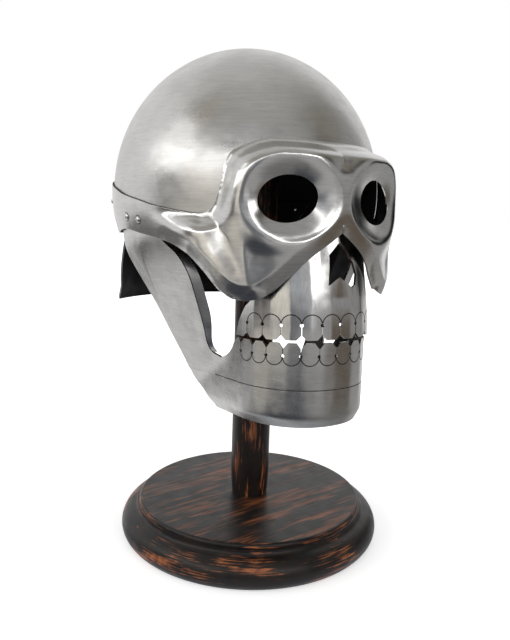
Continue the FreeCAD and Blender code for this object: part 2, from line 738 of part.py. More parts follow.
def liner_crown():
    """Leather tongues, one from each eighth of the headband, that meet round a ring at the top."""
    group = []
    half = 180.0 / TONGUES
    for i in range(TONGUES):
        middle = i * 2 * half

        def tongue(u, s):
            width = half * (TONGUE_SHARE - TONGUE_TAPER * s)
            return crown_point(middle + u * width, s)

        outer = [[tongue(u, s) for s in steps(0, 1, 6)] for u in steps(-1, 1, 4)]
        inner = [[p - (p - HEAD_CENTRE) * (LEATHER / (p - HEAD_CENTRE).Length) for p in row] for row in outer]
        group.append(closed_sheet(outer, inner))
    return group


def liner_drawcord():
    """A ring of cord over the tips of the tongues."""
    return Part.makeTorus(CORD_RING_R + 3, CORD_R, V(0, 0, TONGUE_TOP_Z + CORD_R), V(0, 0, 1))


# Stand


def turned(profile):
    return Part.Face(Part.Wire(Part.__sortEdges__(profile))).revolve(V(0, 0, 0), V(0, 0, 1), 360)


def arc(a, b, c):
    return Part.Arc(V(a[0], 0, a[1]), V(b[0], 0, b[1]), V(c[0], 0, c[1])).toShape()


def run(points):
    return lines([V(r, 0, z) for r, z in points])


def stand_base():
    lip = DISC_R + 1.4
    torus = FOOT_R - 9.2
    profile = run([(0, 0), (FOOT_R - 3.6, 0)])
    profile.append(arc((FOOT_R - 3.6, 0), (FOOT_R - 0.4, 4.4), (FOOT_R, 8)))
    profile.append(arc((FOOT_R, 8), (FOOT_R - 3.0, 16.2), (torus, 20.5)))
    profile += run([(torus, 20.5), (torus - 1.2, 20.7)])
    profile.append(arc((torus - 1.2, 20.7), (lip + 0.6, 22.2), (lip, 25.0)))
    profile += run([(lip, 25.0), (DISC_R, 25.2)])
    profile.append(arc((DISC_R, 25.2), (DISC_R - 0.3, 27.5), (DISC_R - 1.8, DISC_Z)))
    profile += run([(DISC_R - 1.8, DISC_Z), (0, DISC_Z), (0, 0)])
    base = turned(profile)
    base = base.cut(Part.makeCylinder(TENON_R, 12, V(0, 0, DISC_Z - 12)))
    return base.cut(screw_space(0, 1))


def stand_post():
    profile = run([(0, DISC_Z - 12), (TENON_R, DISC_Z - 12), (TENON_R, DISC_Z), (POST_FOOT_R, DISC_Z)])
    profile.append(arc((POST_FOOT_R, DISC_Z), (POST_FOOT_R + 0.7, DISC_Z + 10), (POST_R, DISC_Z + 26)))
    top = HEAD_TOP_Z - HEAD_H + 14
    profile += run([(POST_R, DISC_Z + 26), (POST_R, HEAD_TOP_Z - HEAD_H), (TENON_R, HEAD_TOP_Z - HEAD_H)])
    profile += run([(TENON_R, HEAD_TOP_Z - HEAD_H), (TENON_R, top), (0, top), (0, DISC_Z - 12)])
    post = turned(profile)
    return post.cut([screw_space(0, 1), screw_space(HEAD_TOP_Z, -1)])


def stand_head():
    low = HEAD_TOP_Z - HEAD_H
    profile = run([(0, low), (HEAD_R - 9, low)])
    profile.append(arc((HEAD_R - 9, low), (HEAD_R - 2.2, low + 4.2), (HEAD_R, low + 12)))
    profile.append(cap(HEAD_R, low + 12, HEAD_H - 12))
    profile += run([(0, HEAD_TOP_Z), (0, low)])
    head = turned(profile)
    head = head.cut(Part.makeCylinder(TENON_R, 14, V(0, 0, low)))
    return head.cut(screw_space(HEAD_TOP_Z, -1))


def screw_space(mouth_z, direction):
    """Countersunk wood screw, and the space it fills; it points up or down from its mouth."""
    profile = run([(0, 0), (SCREW_HEAD_R, 0), (SCREW_HEAD_R, SCREW_SINK + 0.6), (SCREW_R, SCREW_SINK + 4.2)])
    profile += run([(SCREW_R, SCREW_SINK + 4.2), (SCREW_R, SCREW_LENGTH - 5), (0, SCREW_LENGTH), (0, 0)])
    solid = turned(profile)
    if direction < 0:
        solid.rotate(V(0, 0, 0), V(1, 0, 0), 180)
    solid.translate(V(0, 0, mouth_z))
    return solid


def screw(mouth_z, direction):
    """The screw itself: the same space less its sink, with a cross recess in its head."""
    lid = Part.makeCylinder(SCREW_HEAD_R + 1, SCREW_SINK, V(0, 0, mouth_z), V(0, 0, direction))
    solid = screw_space(mouth_z, direction).cut(lid)
    top = mouth_z + direction * SCREW_SINK
    low = top if direction > 0 else top - RECESS_DEPTH
    for length, width in ((RECESS_LENGTH, RECESS_WIDTH), (RECESS_WIDTH, RECESS_LENGTH)):
        solid = solid.cut(Part.makeBox(length, width, RECESS_DEPTH, V(-length / 2, -width / 2, low)))
    return solid


def main():
    bowl = skull_bowl()
    mask = face_mask()
    plate = upper_jaw_plate()
    jaw = mandible()
    guard = neck_guard()
    right = temple_rivets(-1)
    left = temple_rivets(1)
    rear = guard_rivets()
    pin = nose_pin()
    write(bowl.cut(right + left + rear), "skull_bowl")
    write(mask.cut(right + left + [rear[0], rear[-1], pin]), "face_mask")
    write(plate.cut(pin), "upper_jaw_plate")
    write(jaw.cut(right + left), "mandible")
    write(chin_band(), "chin_band")
    write(guard.cut(rear), "neck_guard")
    write(Part.makeCompound(right), "temple_rivets_right")
    write(Part.makeCompound(left), "temple_rivets_left")
    write(Part.makeCompound(rear), "neck_guard_rivets")
    write(pin, "nose_pin")
    write(liner_headband(), "liner_headband")
    write(Part.makeCompound(liner_crown()), "liner_crown")
    write(liner_drawcord(), "liner_drawcord")
    write(stand_base(), "stand_base")
    write(stand_post(), "stand_post")
    write(stand_head(), "stand_head")
    write(screw(0, 1), "base_screw")
    write(screw(HEAD_TOP_Z, -1), "head_screw")


main()
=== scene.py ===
import math
import bmesh
import bpy
import numpy as np
from mathutils import Matrix, Vector
from mathutils.geometry import delaunay_2d_cdt

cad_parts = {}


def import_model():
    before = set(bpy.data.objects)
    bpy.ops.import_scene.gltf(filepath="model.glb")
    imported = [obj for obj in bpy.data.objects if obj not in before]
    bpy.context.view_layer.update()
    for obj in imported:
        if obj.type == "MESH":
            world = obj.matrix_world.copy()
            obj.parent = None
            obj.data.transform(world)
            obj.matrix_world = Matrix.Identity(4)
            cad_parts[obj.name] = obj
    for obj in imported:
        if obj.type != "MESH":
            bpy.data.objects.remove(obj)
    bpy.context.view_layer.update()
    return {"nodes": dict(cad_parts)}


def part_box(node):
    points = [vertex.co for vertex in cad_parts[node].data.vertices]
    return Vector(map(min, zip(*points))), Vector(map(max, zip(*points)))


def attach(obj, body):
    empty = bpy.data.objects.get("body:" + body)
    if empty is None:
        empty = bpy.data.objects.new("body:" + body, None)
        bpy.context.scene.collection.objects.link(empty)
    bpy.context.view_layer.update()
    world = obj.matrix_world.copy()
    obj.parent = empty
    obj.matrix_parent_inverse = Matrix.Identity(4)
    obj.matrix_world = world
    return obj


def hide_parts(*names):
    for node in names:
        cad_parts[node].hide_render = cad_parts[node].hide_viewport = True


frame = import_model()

MM = 0.001

# Sheet metal, millimetres. The sheets follow the formulas of the solids, with softer folds.
SHEET = 1.6
LAP_GAP = 0.1
OVER_BOWL = SHEET + LAP_GAP
BOWL_X = 101.6
BOWL_Y = 118.6
BOWL_Z = 111.0
BOWL_CENTRE_Y = 24.7
BOWL_CENTRE_Z = 276.7
BOWL_EDGE = [(150, 262), (70, 262), (20, 250.5), (-38, 249), (-58, 251), (-74, 297), (-150, 297)]
EDGE_ROUND = 0.25
NORMAL_STEP = 0.2

# Face mask. Angles are degrees from the front, round the skull.
BROW_Z = 309.0
CHEEK_Z = 204.0
FACE_REACH = 130.0
FACE_HALF = 103.6
CHEEK_FADE = (255, 285)
FRONT_ANGLE = 44.0
TEMPLE_ANGLE = 78.0
MM_PER_DEGREE = 2.0
EYE_CENTRE = (34.3, -93.6, 270.9)
EYE_HALF_W = 19.7
EYE_HALF_H = 14.7
EYE_ANGLES = (21.8, -8.2, -8.2)  # turned out, nodding, drooping
SOCKET_ANGLE = 19.8
SOCKET_HALF_W = 31.0
SOCKET_HALF_H = 28.5
SOCKET_NOSE_HALF_W = 35.0
SOCKET_RISE = 6.0
SOCKET_OUTER_RISE = 2.0
SOCKET_OUTER = (18, 32)
SOCKET_DEPTH = 6.0
SOCKET_CLEAR = 25.0
SOCKET_MM_PER_DEGREE = 1.9
RIM_SPREAD = 0.34
RIM_SOFT = 0.25
RIM_MORE = 0.15
RIM_LOW = 20.0
EYE_CORNER = (34, 46)
FUNNEL_SPREAD = 0.33
FUNNEL_END = 1.3
BRIDGE_ANGLE = 6.5
BRIDGE_SPAN = (240, 262, 285, 300)
FOLD = 0.9
FOLD_START = 1.5
SWELL_WIDTH = 12.0
EDGE_FADE = 8.0
BEVEL_WIDTH = 10.0
BEVEL_RISE = 5.0
BEVEL_FADE = 13.0
BEVEL_MORE = 7.0
BEVEL_SIDES = (56, 74)
CHEEK_RIDGE = [(35.8, 259), (34.5, 237), (33, 218), (31.3, 212)]
CHEEK_RISE = 5.0
CHEEK_WIDTH = 12.0
CHEEK_ROUND = 2.0
CHEEK_DROP = 1.4
CHEEKBONE = (52.0, 249.0)
CHEEKBONE_SPREAD = (6.0, 8.0)
CHEEKBONE_RISE = 2.0
MASK_TOP = [(126, 287), (111, 282), (98, 277), (89, 272.6), (77, 268), (69, 264.5), (57, 261),
            (49, 259.6), (45.6, 261.5), (43.4, 266), (41.6, 275), (40.6, 284), (40.2, 291),
            (38, 299), (34.6, 303), (29, 307), (24, BROW_Z)]
MASK_FOOT = [(126, 242), (111, 243), (92, 247), (79, 244.6), (64, 240.2), (55, 233), (48.6, 222.4),
             (44.5, 213.7), (41, 208.2), (37, 204.6), (33, CHEEK_Z)]
MASK_ARCH = [(33, CHEEK_Z), (29, 205.8), (26.4, 208), (23, 212.5), (18.7, 220.2), (14.3, 228.6),
             (9.7, 236.2), (4.2, 243.6), (0, 249.2)]
LAP_SHADE = 1.2      # edge darkened this near to the mask's top line, painted shade in the gap at the bowl
LAP_POLISHED = 1.8  # bowl polished this far under it; past that its face under the mask is black, painted shade

# Rivets: angle round the skull and height
TEMPLE_RIVETS = [(86.9, 256.1), (78.4, 254.2)]
RIVET_HEAD_R = 2.6
# width of the ring of dirt and painted contact shade round each rivet head
RIVET_DIRT_AND_SHADE = 1.3
PIN_Z = 253.5
PIN_R = 0.8
PIN_HEAD_R = 1.2
PIN_GRIP = 7.0

# Teeth of both jaws. A corner is how deep and how wide a tooth is clipped.
JAW_SLOPE = -0.05
TOOTH_HOLE_R = 1.35
SLIT_HALF = 0.3
SCRIBE_HALF = 0.36
SCRIBE_DEPTH = 0.5

# Upper jaw plate
UPPER_HALF = 49.7
UPPER_REACH = 61.4
UPPER_Y = -51.65
UPPER_POWER = 2.27
UPPER_TOP_Z = 260.0
UPPER_TOOTH = 14.0
UPPER_GAPS = [i * UPPER_TOOTH for i in range(-5, 6)]
UPPER_CORNER = (3.2, 3.4)
UPPER_HOLE_Z = 189.5
UPPER_BITE_Z = 179.6
UPPER_LEAN = 11.8
UPPER_LEAN_Z = 190.0
UPPER_LEAN_HEIGHT = 60.0
UPPER_LEAN_SOFT = 6.0
UPPER_SIDE_LEAN = 0.35
UPPER_SIDE = [(82.4, UPPER_BITE_Z), (79.4, 189.6), (72.4, 200.6), (67.8, 204.1), (64, 209),
              (63, 214), (50, 224), (30, 240), (14, 252), (8, UPPER_TOP_Z)]
FLUTE_RISE = 0.9
FLUTE_ROUND = 0.6
FLUTE_LOW_Z = 207.0
FLUTE_HIGH_Z = 222.0
NASAL_RISE = 4.0
NASAL_HALF = 14.0
NASAL_HIGH_Z = 232.0
NOSE_OPENING = [(-0.5, 243), (-7.2, 235), (-7.4, 227.3), (-8.4, 214.8), (-0.4, 220.6), (12, 213.2),
                (15.6, 215), (17.6, 221.6), (15, 229.6), (9, 237)]
NOSE_DOT = (-16.6, 232.1)
NOSE_DOT_R = 0.9

# Lower jaw, its arms and the chin band
LOWER_HALF = 47.0
LOWER_REACH = 59.0
LOWER_Y = -53.7
LOWER_POWER = 2.17
LOWER_TOOTH = 12.4
LOWER_START = -2.8
LOWER_GAPS = [LOWER_START + i * LOWER_TOOTH for i in range(-6, 7)]
LOWER_CORNER = (3.8, 3.2)
LOWER_HOLE_Z = 168.4
LOWER_BITE_Z = 177.4
JAW_REAR_Y = 4.0
JAW_REAR_HALF = 50.0
JAW_WAVE = 0.1
JAW_WAVE_START = 0.8
JAW_WAVE_FADE = (24.0, 8.0)
JAW_WAVE_HEIGHT = 12.0
ARM_FRONT = [(-8, 264), (-10, 250), (-17.7, 240.4), (-28, 231.8), (-32.4, 223), (-33.2, 213.2),
             (-31.3, 198.5), (-28.4, 179.5), (-25.2, 165), (-27.5, 158.6), (-36, 156)]
ARM_REAR = [(7.8, 141.2), (10.3, 157.5), (14.3, 171), (17.6, 185), (23, 198.6), (29.4, 211.4),
            (38.3, 228), (46, 241), (44, 254), (38, 262)]
SHOULDER = [(-36, 156), (-43, 158.9), (-47.3, 162.3), (-50.3, 166.5), (-51.8, 170), (-56.5, 174.6)]
SHOULDER_STEP = 3.0
ARM_JOIN_Y = -36.0
ARM_JOIN_WIDTH = 16.0
ARM_JOIN_START = 20.0
ARM_FLANGE = 7.0
ARM_FLANGE_FOOT = (158, 192)
ARM_FLANGE_LEAST = 0.3
ARM_TOP_Z = 247.0
ARM_BEND_Y = -8.0
ARM_SLOPE = 0.43
ARM_LEAN_Z = 156.0
ARM_LEAN_LEAST_Z = 128.0
ARM_LEAN_FALL = 0.6
ARM_LEAN_SOFT = 4.0
ARM_TUCK_SOFT = 2.0
SEAM_Z = 145.3
SEAM_GAP = 0.05
# Along the jaw's seam the faces and the edges are darkened: painted shade in the seam.
SEAM_SHADE = 0.34
SEAM_EDGE = 0.4
SEAM_REACH = 112.0
CREASE_Z = 125.9
CREASE_ROUND = 0.7
CREASE_LINES = [CREASE_Z + lift for lift in (-3.0, -2.0, -1.0, 0.0, 1.0, 2.0)]
CREASE_REACH = 118.0
FLANGE_Z = 118.5
FLANGE_INSET = 3.6
CHIN_SIDE = [(-22.5, 114), (-22, 116), (-10, 124.5), (3, 131), (7.2, 139.3)]

# Neck guard
GUARD_FOOT_Z = 183.0
GUARD_TOP_Z = 275.0
GUARD_LAP_Z = 240.0
GUARD_FOOT_R = 114.0
GUARD_FOOT_Y = 21.0
GUARD_TOP_ANGLE = 72.0
GUARD_FOOT_ANGLE = 42.0
GUARD_LIP = 3.0
GUARD_LIP_HEIGHT = 14.0

# Wooden stand
FOOT_R = 106.6
DISC_R = 92.2
DISC_Z = 28.3
POST_R = 15.84
POST_FOOT_R = 14.6
GRAIN_TURN = -7.0

# Camera: millimetres and degrees
CAMERA_LENS = 35.12
CAMERA_AWAY = 505.27
CAMERA_HEIGHT = 255.65
CAMERA_ANGLES = (-30.84, -30.92, 9.01, 1.67)  # bearing, aim, pitch, roll

# What the metal mirrors: a pale backdrop behind, and in front a grey room with a dark doorway.
# Each area: bearing from and to, height from and to, softness (degrees), colour. 0 is in front.
ROOM_BASE = 0.88
ROOM = [
    (-180, 180, 50, 90, 20, (0.58, 0.58, 0.57)),
    (-118, 100, -90, 90, 8, 0.36),
    (-118, 100, 55, 90, 20, (0.46, 0.46, 0.44)),
    (-112, -84, 42, 64, 6, (0.4, 0.36, 0.3)),
    (-118, -94, -9, 13, 3, (0.24, 0.22, 0.2)),
    (-111, -98, -6, 4, 3, (0.07, 0.075, 0.09)),
    (28, 78, 30, 60, 10, (0.24, 0.225, 0.19)),
    (4, 52, 25, 36, 5, (0.05, 0.036, 0.026)),
    (18, 58, -28, 3, 5, (0.15, 0.125, 0.1)),
    (73, 110, -1, 14, 3, 0.005),
    (-52, -23, -6, 8, 4, (0.17, 0.18, 0.2)),
    (-22, 0, -3, 7, 3, (0.75, 0.75, 0.76)),
    (-90, -56, -1, 14, 3, (0.95, 0.9, 0.8)),
    (-46, -18, 9, 20, 4, (0.5, 0.52, 0.56)),
    (-106, -76, -26, -9, 4, (0.8, 0.76, 0.68)),
    (-76, -54, -19, -6, 3, (0.85, 0.83, 0.78)),
    (-53, -33, -22, -6, 3, (0.2, 0.205, 0.22)),
    (-33, 14, -20, -6, 3, 0.47),
    (-158, -120, -28, -8, 4, (0.16, 0.16, 0.155)),
    (-118, 60, -60, -29, 4, 0.2),
    (-86, -16, -54, -21, 3, (0.06, 0.065, 0.08)),
    (60, 104, -60, -24, 8, (0.46, 0.45, 0.43)),
    (-118, 100, -90, -60, 6, (0.6, 0.63, 0.68)),
]

# Room, floor and lamps are in metres.
ROOM_CENTRE_Z = 0.25
ROOM_R = 3.0
ROOM_FOOT = -6
FLOOR_RINGS = (0.001, 0.06, 0.1, 0.14, 0.18, 0.24, 0.32, 0.42, 0.55, 0.7, 0.9, 1.2, 1.6, 2.2, 3, 5,
               10, 40)
SHADOW_EDGE = (0.12, 0.34)
FLOOR_GLOW = (0.45, 1.0)
WORLD_LIGHT = 0.65

# Soft boxes: bearing, height, width and height in degrees as the helmet sees them, and radiance
LAMP_AWAY = 1.5
LAMPS = {
    "window": (-91, 22, 58, 14, 2.2),
    "window_top": (-105, 37, 20, 11, 1.2),
    "strip": (-33, 26, 56, 6, 2.4),
    "front": (3, 18, 22, 14, 2.8),
}


# Formulas of the sheets, on arrays


def smooth(value, low, high):
    t = np.clip((value - low) / (high - low), 0.0, 1.0)
    return t * t * (3 - 2 * t)


def band(value, low, full, fading, high):
    """1 between full and fading, and 0 outside low and high."""
    return smooth(value, low, full) * (1 - smooth(value, fading, high))


def bell(value):
    return np.exp(-value ** 2)


def soft_step(value, scale):
    """0 below zero and the value itself above, with a rounded corner."""
    return scale * np.logaddexp(0, value / scale)


def distance_to(points, x, y):
    best = np.full(np.shape(x), 1e9)
    for (ax, ay), (bx, by) in zip(points, points[1:]):
        dx = bx - ax
        dy = by - ay
        t = np.clip(((x - ax) * dx + (y - ay) * dy) / (dx * dx + dy * dy), 0.0, 1.0)
        best = np.minimum(best, np.hypot(x - ax - t * dx, y - ay - t * dy))
    return best


def unrolled(points):
    return [(angle * MM_PER_DEGREE, z) for angle, z in points]


TOP_LINE = np.array(unrolled(MASK_TOP + [(0, BROW_Z)]))
RIDGE_LINE = unrolled(CHEEK_RIDGE)
FOOT_LINE = unrolled(MASK_FOOT[4:] + MASK_ARCH[1:])


def bowl_radii(z, off):
    """Half width and half length of the bowl at a height, larger by off."""
    lift = (z - BOWL_CENTRE_Z) / BOWL_Z
    k = np.sqrt(np.maximum(1 - lift * lift, 0.05))
    return BOWL_X * k + off, BOWL_Y * k + off


def below_top(u, z):
    """Distance of a point of the mask from its top line, 0 above the line."""
    above = z > np.interp(u, TOP_LINE[::-1, 0], TOP_LINE[::-1, 1])
    return np.where(above, 0.0, distance_to(TOP_LINE, u, z))


def fold_over(a, b, fold=FOLD):
    """The higher of two embossings, with the fold between them rounded as in worked metal."""
    top = np.maximum(a, b)
    return top + fold * np.log1p(np.exp(-np.abs(a - b) / fold)) * (1 - bell(top / FOLD_START))


def relief(side, z, bevel_rise):
    """How far the embossing stands off the plain face at an angle and a height."""
    s = (side - SOCKET_ANGLE) * SOCKET_MM_PER_DEGREE
    drop = z - EYE_CENTRE[2]
    nose = (0.5 - 0.5 * s / (np.hypot(s, drop) + 1e-6)) ** 2
    half_w = SOCKET_HALF_W + (SOCKET_NOSE_HALF_W - SOCKET_HALF_W) * nose
    r = np.hypot(s / half_w, drop / SOCKET_HALF_H)
    outer = SOCKET_OUTER_RISE * smooth(side, *SOCKET_OUTER)
    crest = SOCKET_RISE + outer
    skirt = RIM_SPREAD + RIM_MORE * smooth(-drop, 0, RIM_LOW) * (1 - smooth(side, *EYE_CORNER))
    sink = (np.sqrt((1 - r) ** 2 + RIM_SOFT ** 2) - RIM_SOFT) / FUNNEL_SPREAD
    funnel = crest - (SOCKET_DEPTH + outer) * np.minimum(sink, FUNNEL_END)
    rim = np.where(r > 1, crest * bell((r - 1) / skirt), funnel)
    bridge = SOCKET_RISE * bell(side / BRIDGE_ANGLE) * band(z, *BRIDGE_SPAN)
    cheek = (CHEEKBONE_RISE * bell((side - CHEEKBONE[0]) / CHEEKBONE_SPREAD[0])
             * bell((z - CHEEKBONE[1]) / CHEEKBONE_SPREAD[1]))
    away = distance_to(RIDGE_LINE, side * MM_PER_DEGREE, z)
    facet = CHEEK_RISE * (1 - (np.sqrt(away ** 2 + CHEEK_ROUND) - CHEEK_DROP) / CHEEK_WIDTH)
    around = fold_over(facet, bevel_rise) - SOCKET_CLEAR * (1 - smooth(r, 0.7, 1.0))
    return fold_over(fold_over(rim, bridge), around, 2 * FOLD) + cheek


def mask_surface(u, z):
    """Outer face of the mask; u is the angle round the skull times MM_PER_DEGREE."""
    t = np.radians(u / MM_PER_DEGREE)
    side = np.abs(u / MM_PER_DEGREE)
    under = below_top(np.abs(u), z)
    swell = smooth(under, 0, SWELL_WIDTH)
    front = 1 - smooth(side, FRONT_ANGLE, TEMPLE_ANGLE)
    plain_a, plain_b = bowl_radii(z, OVER_BOWL)
    a = plain_a + (FACE_HALF - plain_a) * front * (1 - smooth(z, *CHEEK_FADE)) * swell
    b = plain_b + (FACE_REACH - plain_b) * front * swell
    edge = distance_to(FOOT_LINE, np.abs(u), z)
    fade = BEVEL_FADE + BEVEL_MORE * (1 - smooth(side, *EYE_CORNER))
    bevelled = np.where(edge < BEVEL_WIDTH, edge / BEVEL_WIDTH, bell((edge - BEVEL_WIDTH) / fade))
    h = relief(side, z, BEVEL_RISE * bevelled * (1 - smooth(side, *BEVEL_SIDES)))
    h = h * front * smooth(under, 0, EDGE_FADE)
    return np.stack([(a + h) * np.sin(t), BOWL_CENTRE_Y - (b + h) * np.cos(t), z], axis=-1)


def bowl_surface(u, v):
    """Outer face of the bowl, seen from above: (u, v) is the arc walked from the crown."""
    walked = np.maximum(np.hypot(u, v), 1e-6)
    theta = walked / BOWL_X
    x = BOWL_X * np.sin(theta) * u / walked
    y = BOWL_CENTRE_Y + BOWL_Y * np.sin(theta) * v / walked
    return np.stack([x, y, BOWL_CENTRE_Z + BOWL_Z * np.cos(theta)], axis=-1)


def jaw_track(half, reach, centre_y, power, rear):
    """A jaw's plan curve: the distance walked from the middle, x and y of its points."""
    t = np.radians(np.linspace(0, 87, 175))
    x = np.append(half * np.sin(t) ** (2 / power), rear[0])
    y = np.append(centre_y - reach * np.cos(t) ** (2 / power), rear[1])
    walked = np.concatenate([[0], np.cumsum(np.hypot(np.diff(x), np.diff(y)))])
    return walked, x, y


UPPER = jaw_track(UPPER_HALF, UPPER_REACH, UPPER_Y, UPPER_POWER, (UPPER_HALF, 0))
LOWER = jaw_track(LOWER_HALF, LOWER_REACH, LOWER_Y, LOWER_POWER, (JAW_REAR_HALF, JAW_REAR_Y))
UPPER_FRONT_Y = UPPER_Y - UPPER_REACH
JAW_FRONT_Y = LOWER_Y - LOWER_REACH
JOIN_S = float(np.interp(ARM_JOIN_Y, LOWER[2], LOWER[0]))


def along(track, s):
    """x and y of the points at distances s along a plan curve."""
    walked, x, y = track
    side = np.abs(s)
    return np.array([np.sign(s) * np.interp(side, walked, x), np.interp(side, walked, y)])


def outward(track, s):
    """The plan curve's outward direction there."""
    x, y = along(track, s + 2 * NORMAL_STEP) - along(track, s - 2 * NORMAL_STEP)
    return np.array([y, -x]) / np.maximum(np.hypot(x, y), 1e-9)


def upper_surface(s, v):
    """Fluted plate: slightly bent facets from a ridge on each tooth to a valley at each gap."""
    half = UPPER_TOOTH / 2
    cell = np.floor(s / half)
    part = s / half - cell
    rise = FLUTE_RISE * np.interp(v, [FLUTE_LOW_Z, FLUTE_HIGH_Z], [1, 0])
    nasal = NASAL_RISE * np.interp(v, [FLUTE_LOW_Z, NASAL_HIGH_Z], [0, 1])
    facet = 0.0
    for corner, weight in ((cell, 1 - part), (cell + 1, part)):
        crest = rise * (np.abs(corner) % 2)
        edge = along(UPPER, corner * half) + outward(UPPER, corner * half) * crest
        facet = facet + weight * edge
    x, y = facet + FLUTE_ROUND * (along(UPPER, s) - facet)
    height = soft_step(v - UPPER_LEAN_Z, UPPER_LEAN_SOFT) / UPPER_LEAN_HEIGHT
    lean = 1 - UPPER_LEAN / UPPER_REACH * height
    x = x * (1 - UPPER_SIDE_LEAN * (1 - lean))
    y = UPPER_Y + (y - UPPER_Y) * lean - nasal * np.maximum(1 - np.abs(s) / NASAL_HALF, 0)
    return np.stack([x, y, v + JAW_SLOPE * (y - UPPER_FRONT_Y)], axis=-1)


def arm_x(y, z):
    """Outer face of the wearer's left arm: a leaning strap that tucks in under the bowl."""
    a, b = bowl_radii(np.maximum(z, ARM_TOP_Z), -OVER_BOWL)
    bend_y = np.maximum(y, ARM_BEND_Y)
    skull = a * np.sqrt(1 - ((bend_y - BOWL_CENTRE_Y) / b) ** 2)
    skull = skull - (a / b) ** 2 * (BOWL_CENTRE_Y - bend_y) / skull * (bend_y - y)
    jaw = LOWER_HALF + (JAW_REAR_HALF - LOWER_HALF) * (y - LOWER_Y) / (JAW_REAR_Y - LOWER_Y)
    lean_z = np.maximum(ARM_LEAN_LEAST_Z, ARM_LEAN_Z - ARM_LEAN_FALL * (y - ARM_JOIN_Y))
    strap = jaw + ARM_SLOPE * soft_step(z - lean_z, ARM_LEAN_SOFT)
    return strap - soft_step(strap - skull, ARM_TUCK_SOFT)


def jaw_surface(s, v):
    """Jaw sheet and arms in one: past JOIN_S, s runs straight back along the arm."""
    side = np.abs(s)
    px, py = along(LOWER, np.minimum(side, JOIN_S))
    y = np.where(side > JOIN_S, ARM_JOIN_Y + side - JOIN_S, py)
    z = v + JAW_SLOPE * (y - JAW_FRONT_Y)
    arm = arm_x(np.maximum(y, ARM_JOIN_Y), z)
    join = smooth(y, ARM_JOIN_Y - ARM_JOIN_WIDTH, ARM_JOIN_Y) * (side > JOIN_S - ARM_JOIN_START)
    nx, ny = outward(LOWER, side)
    fade_from, fade_to = (JOIN_S - before for before in JAW_WAVE_FADE)
    wave = JAW_WAVE * np.sin(2 * math.pi * (s - LOWER_START) / LOWER_TOOTH + JAW_WAVE_START)
    wave = wave * (1 - smooth(side, fade_from, fade_to))
    wave = wave * smooth(v, CREASE_Z, CREASE_Z + JAW_WAVE_HEIGHT)
    px = px + nx * wave
    y = y + ny * wave * (side < JOIN_S)
    x = np.where(side > JOIN_S, arm, px + (arm - px) * join)
    return np.stack([np.sign(s) * x, y, z], axis=-1)


def chin_surface(s, v):
    """Chin band: the jaw's own wall down to a rounded crease, then an edge turned inward."""
    wall = np.maximum(v, CREASE_Z)
    p = jaw_surface(s, wall)
    run = jaw_surface(s + 2 * NORMAL_STEP, wall) - jaw_surface(s - 2 * NORMAL_STEP, wall)
    length = np.hypot(run[:, 0], run[:, 1])
    inset = FLANGE_INSET * soft_step(CREASE_Z - v, CREASE_ROUND) / (CREASE_Z - FLANGE_Z)
    p[:, 0] -= inset * run[:, 1] / length
    p[:, 1] += inset * run[:, 0] / length
    p[:, 2] -= np.maximum(CREASE_Z - v, 0)
    return p


def guard_surface(u, z):
    """Neck guard; u is the angle from the back times MM_PER_DEGREE."""
    drop = np.clip((GUARD_LAP_Z - z) / (GUARD_LAP_Z - GUARD_FOOT_Z), 0, 1)
    flare = GUARD_LIP * (1 - smooth(z, GUARD_FOOT_Z, GUARD_FOOT_Z + GUARD_LIP_HEIGHT))
    a, b = bowl_radii(np.maximum(z, GUARD_LAP_Z), -OVER_BOWL)
    a = a + (GUARD_FOOT_R - a) * drop + flare
    b = b + (GUARD_FOOT_R - b) * drop + flare
    centre_y = BOWL_CENTRE_Y + (GUARD_FOOT_Y - BOWL_CENTRE_Y) * drop
    t = np.radians(u / MM_PER_DEGREE)
    return np.stack([-a * np.sin(t), centre_y + b * np.cos(t), z], axis=-1)


# Making meshes


def spline(points):
    """A smooth curve through points, as points about a millimetre apart."""
    p = np.array(points, float)
    p = np.vstack([2 * p[0] - p[1], p, 2 * p[-1] - p[-2]])
    out = []
    for a, b, c, d in zip(p, p[1:], p[2:], p[3:]):
        count = max(1, int(round(np.linalg.norm(c - b))))
        for t in np.arange(count) / count:
            out.append(0.5 * (2 * b + (c - a) * t + (2 * a - 5 * b + 4 * c - d) * t * t
                              + (3 * b - a - 3 * c + d) * t ** 3))
    out.append(p[-2])
    return np.array(out)


def straight(a, b, step=1.0):
    count = max(1, int(round(math.dist(a, b) / step)))
    t = np.arange(count + 1)[:, None] / count
    return np.array(a) * (1 - t) + np.array(b) * t


def dense(points, step=1.0):
    """Points about a step apart along straight lines through the given ones."""
    lines = [straight(a, b, step)[:-1] for a, b in zip(points, points[1:])]
    return np.vstack(lines + [[points[-1]]])


def ring(points, step=1.0):
    """The same for a closed line."""
    return dense(points + points[:1], step)[:-1]


def chain(*pieces):
    """Joins point runs end to end and drops the repeated points."""
    points = np.vstack(pieces)
    keep = np.linalg.norm(points - np.roll(points, 1, axis=0), axis=1) > 1e-6
    return points[keep]


def mirrored(points):
    return points * np.array([-1, 1])


def inside(loops, x, y):
    """Which points lie in the first loop and in none of the holes, the other loops."""
    found = np.zeros(len(x), bool)
    for loop in loops:
        for (ax, ay), (bx, by) in zip(loop, np.roll(loop, -1, axis=0)):
            if by != ay:
                crosses = (ay > y) != (by > y)
                found ^= crosses & (x < (bx - ax) * (y - ay) / (by - ay) + ax)
    return found


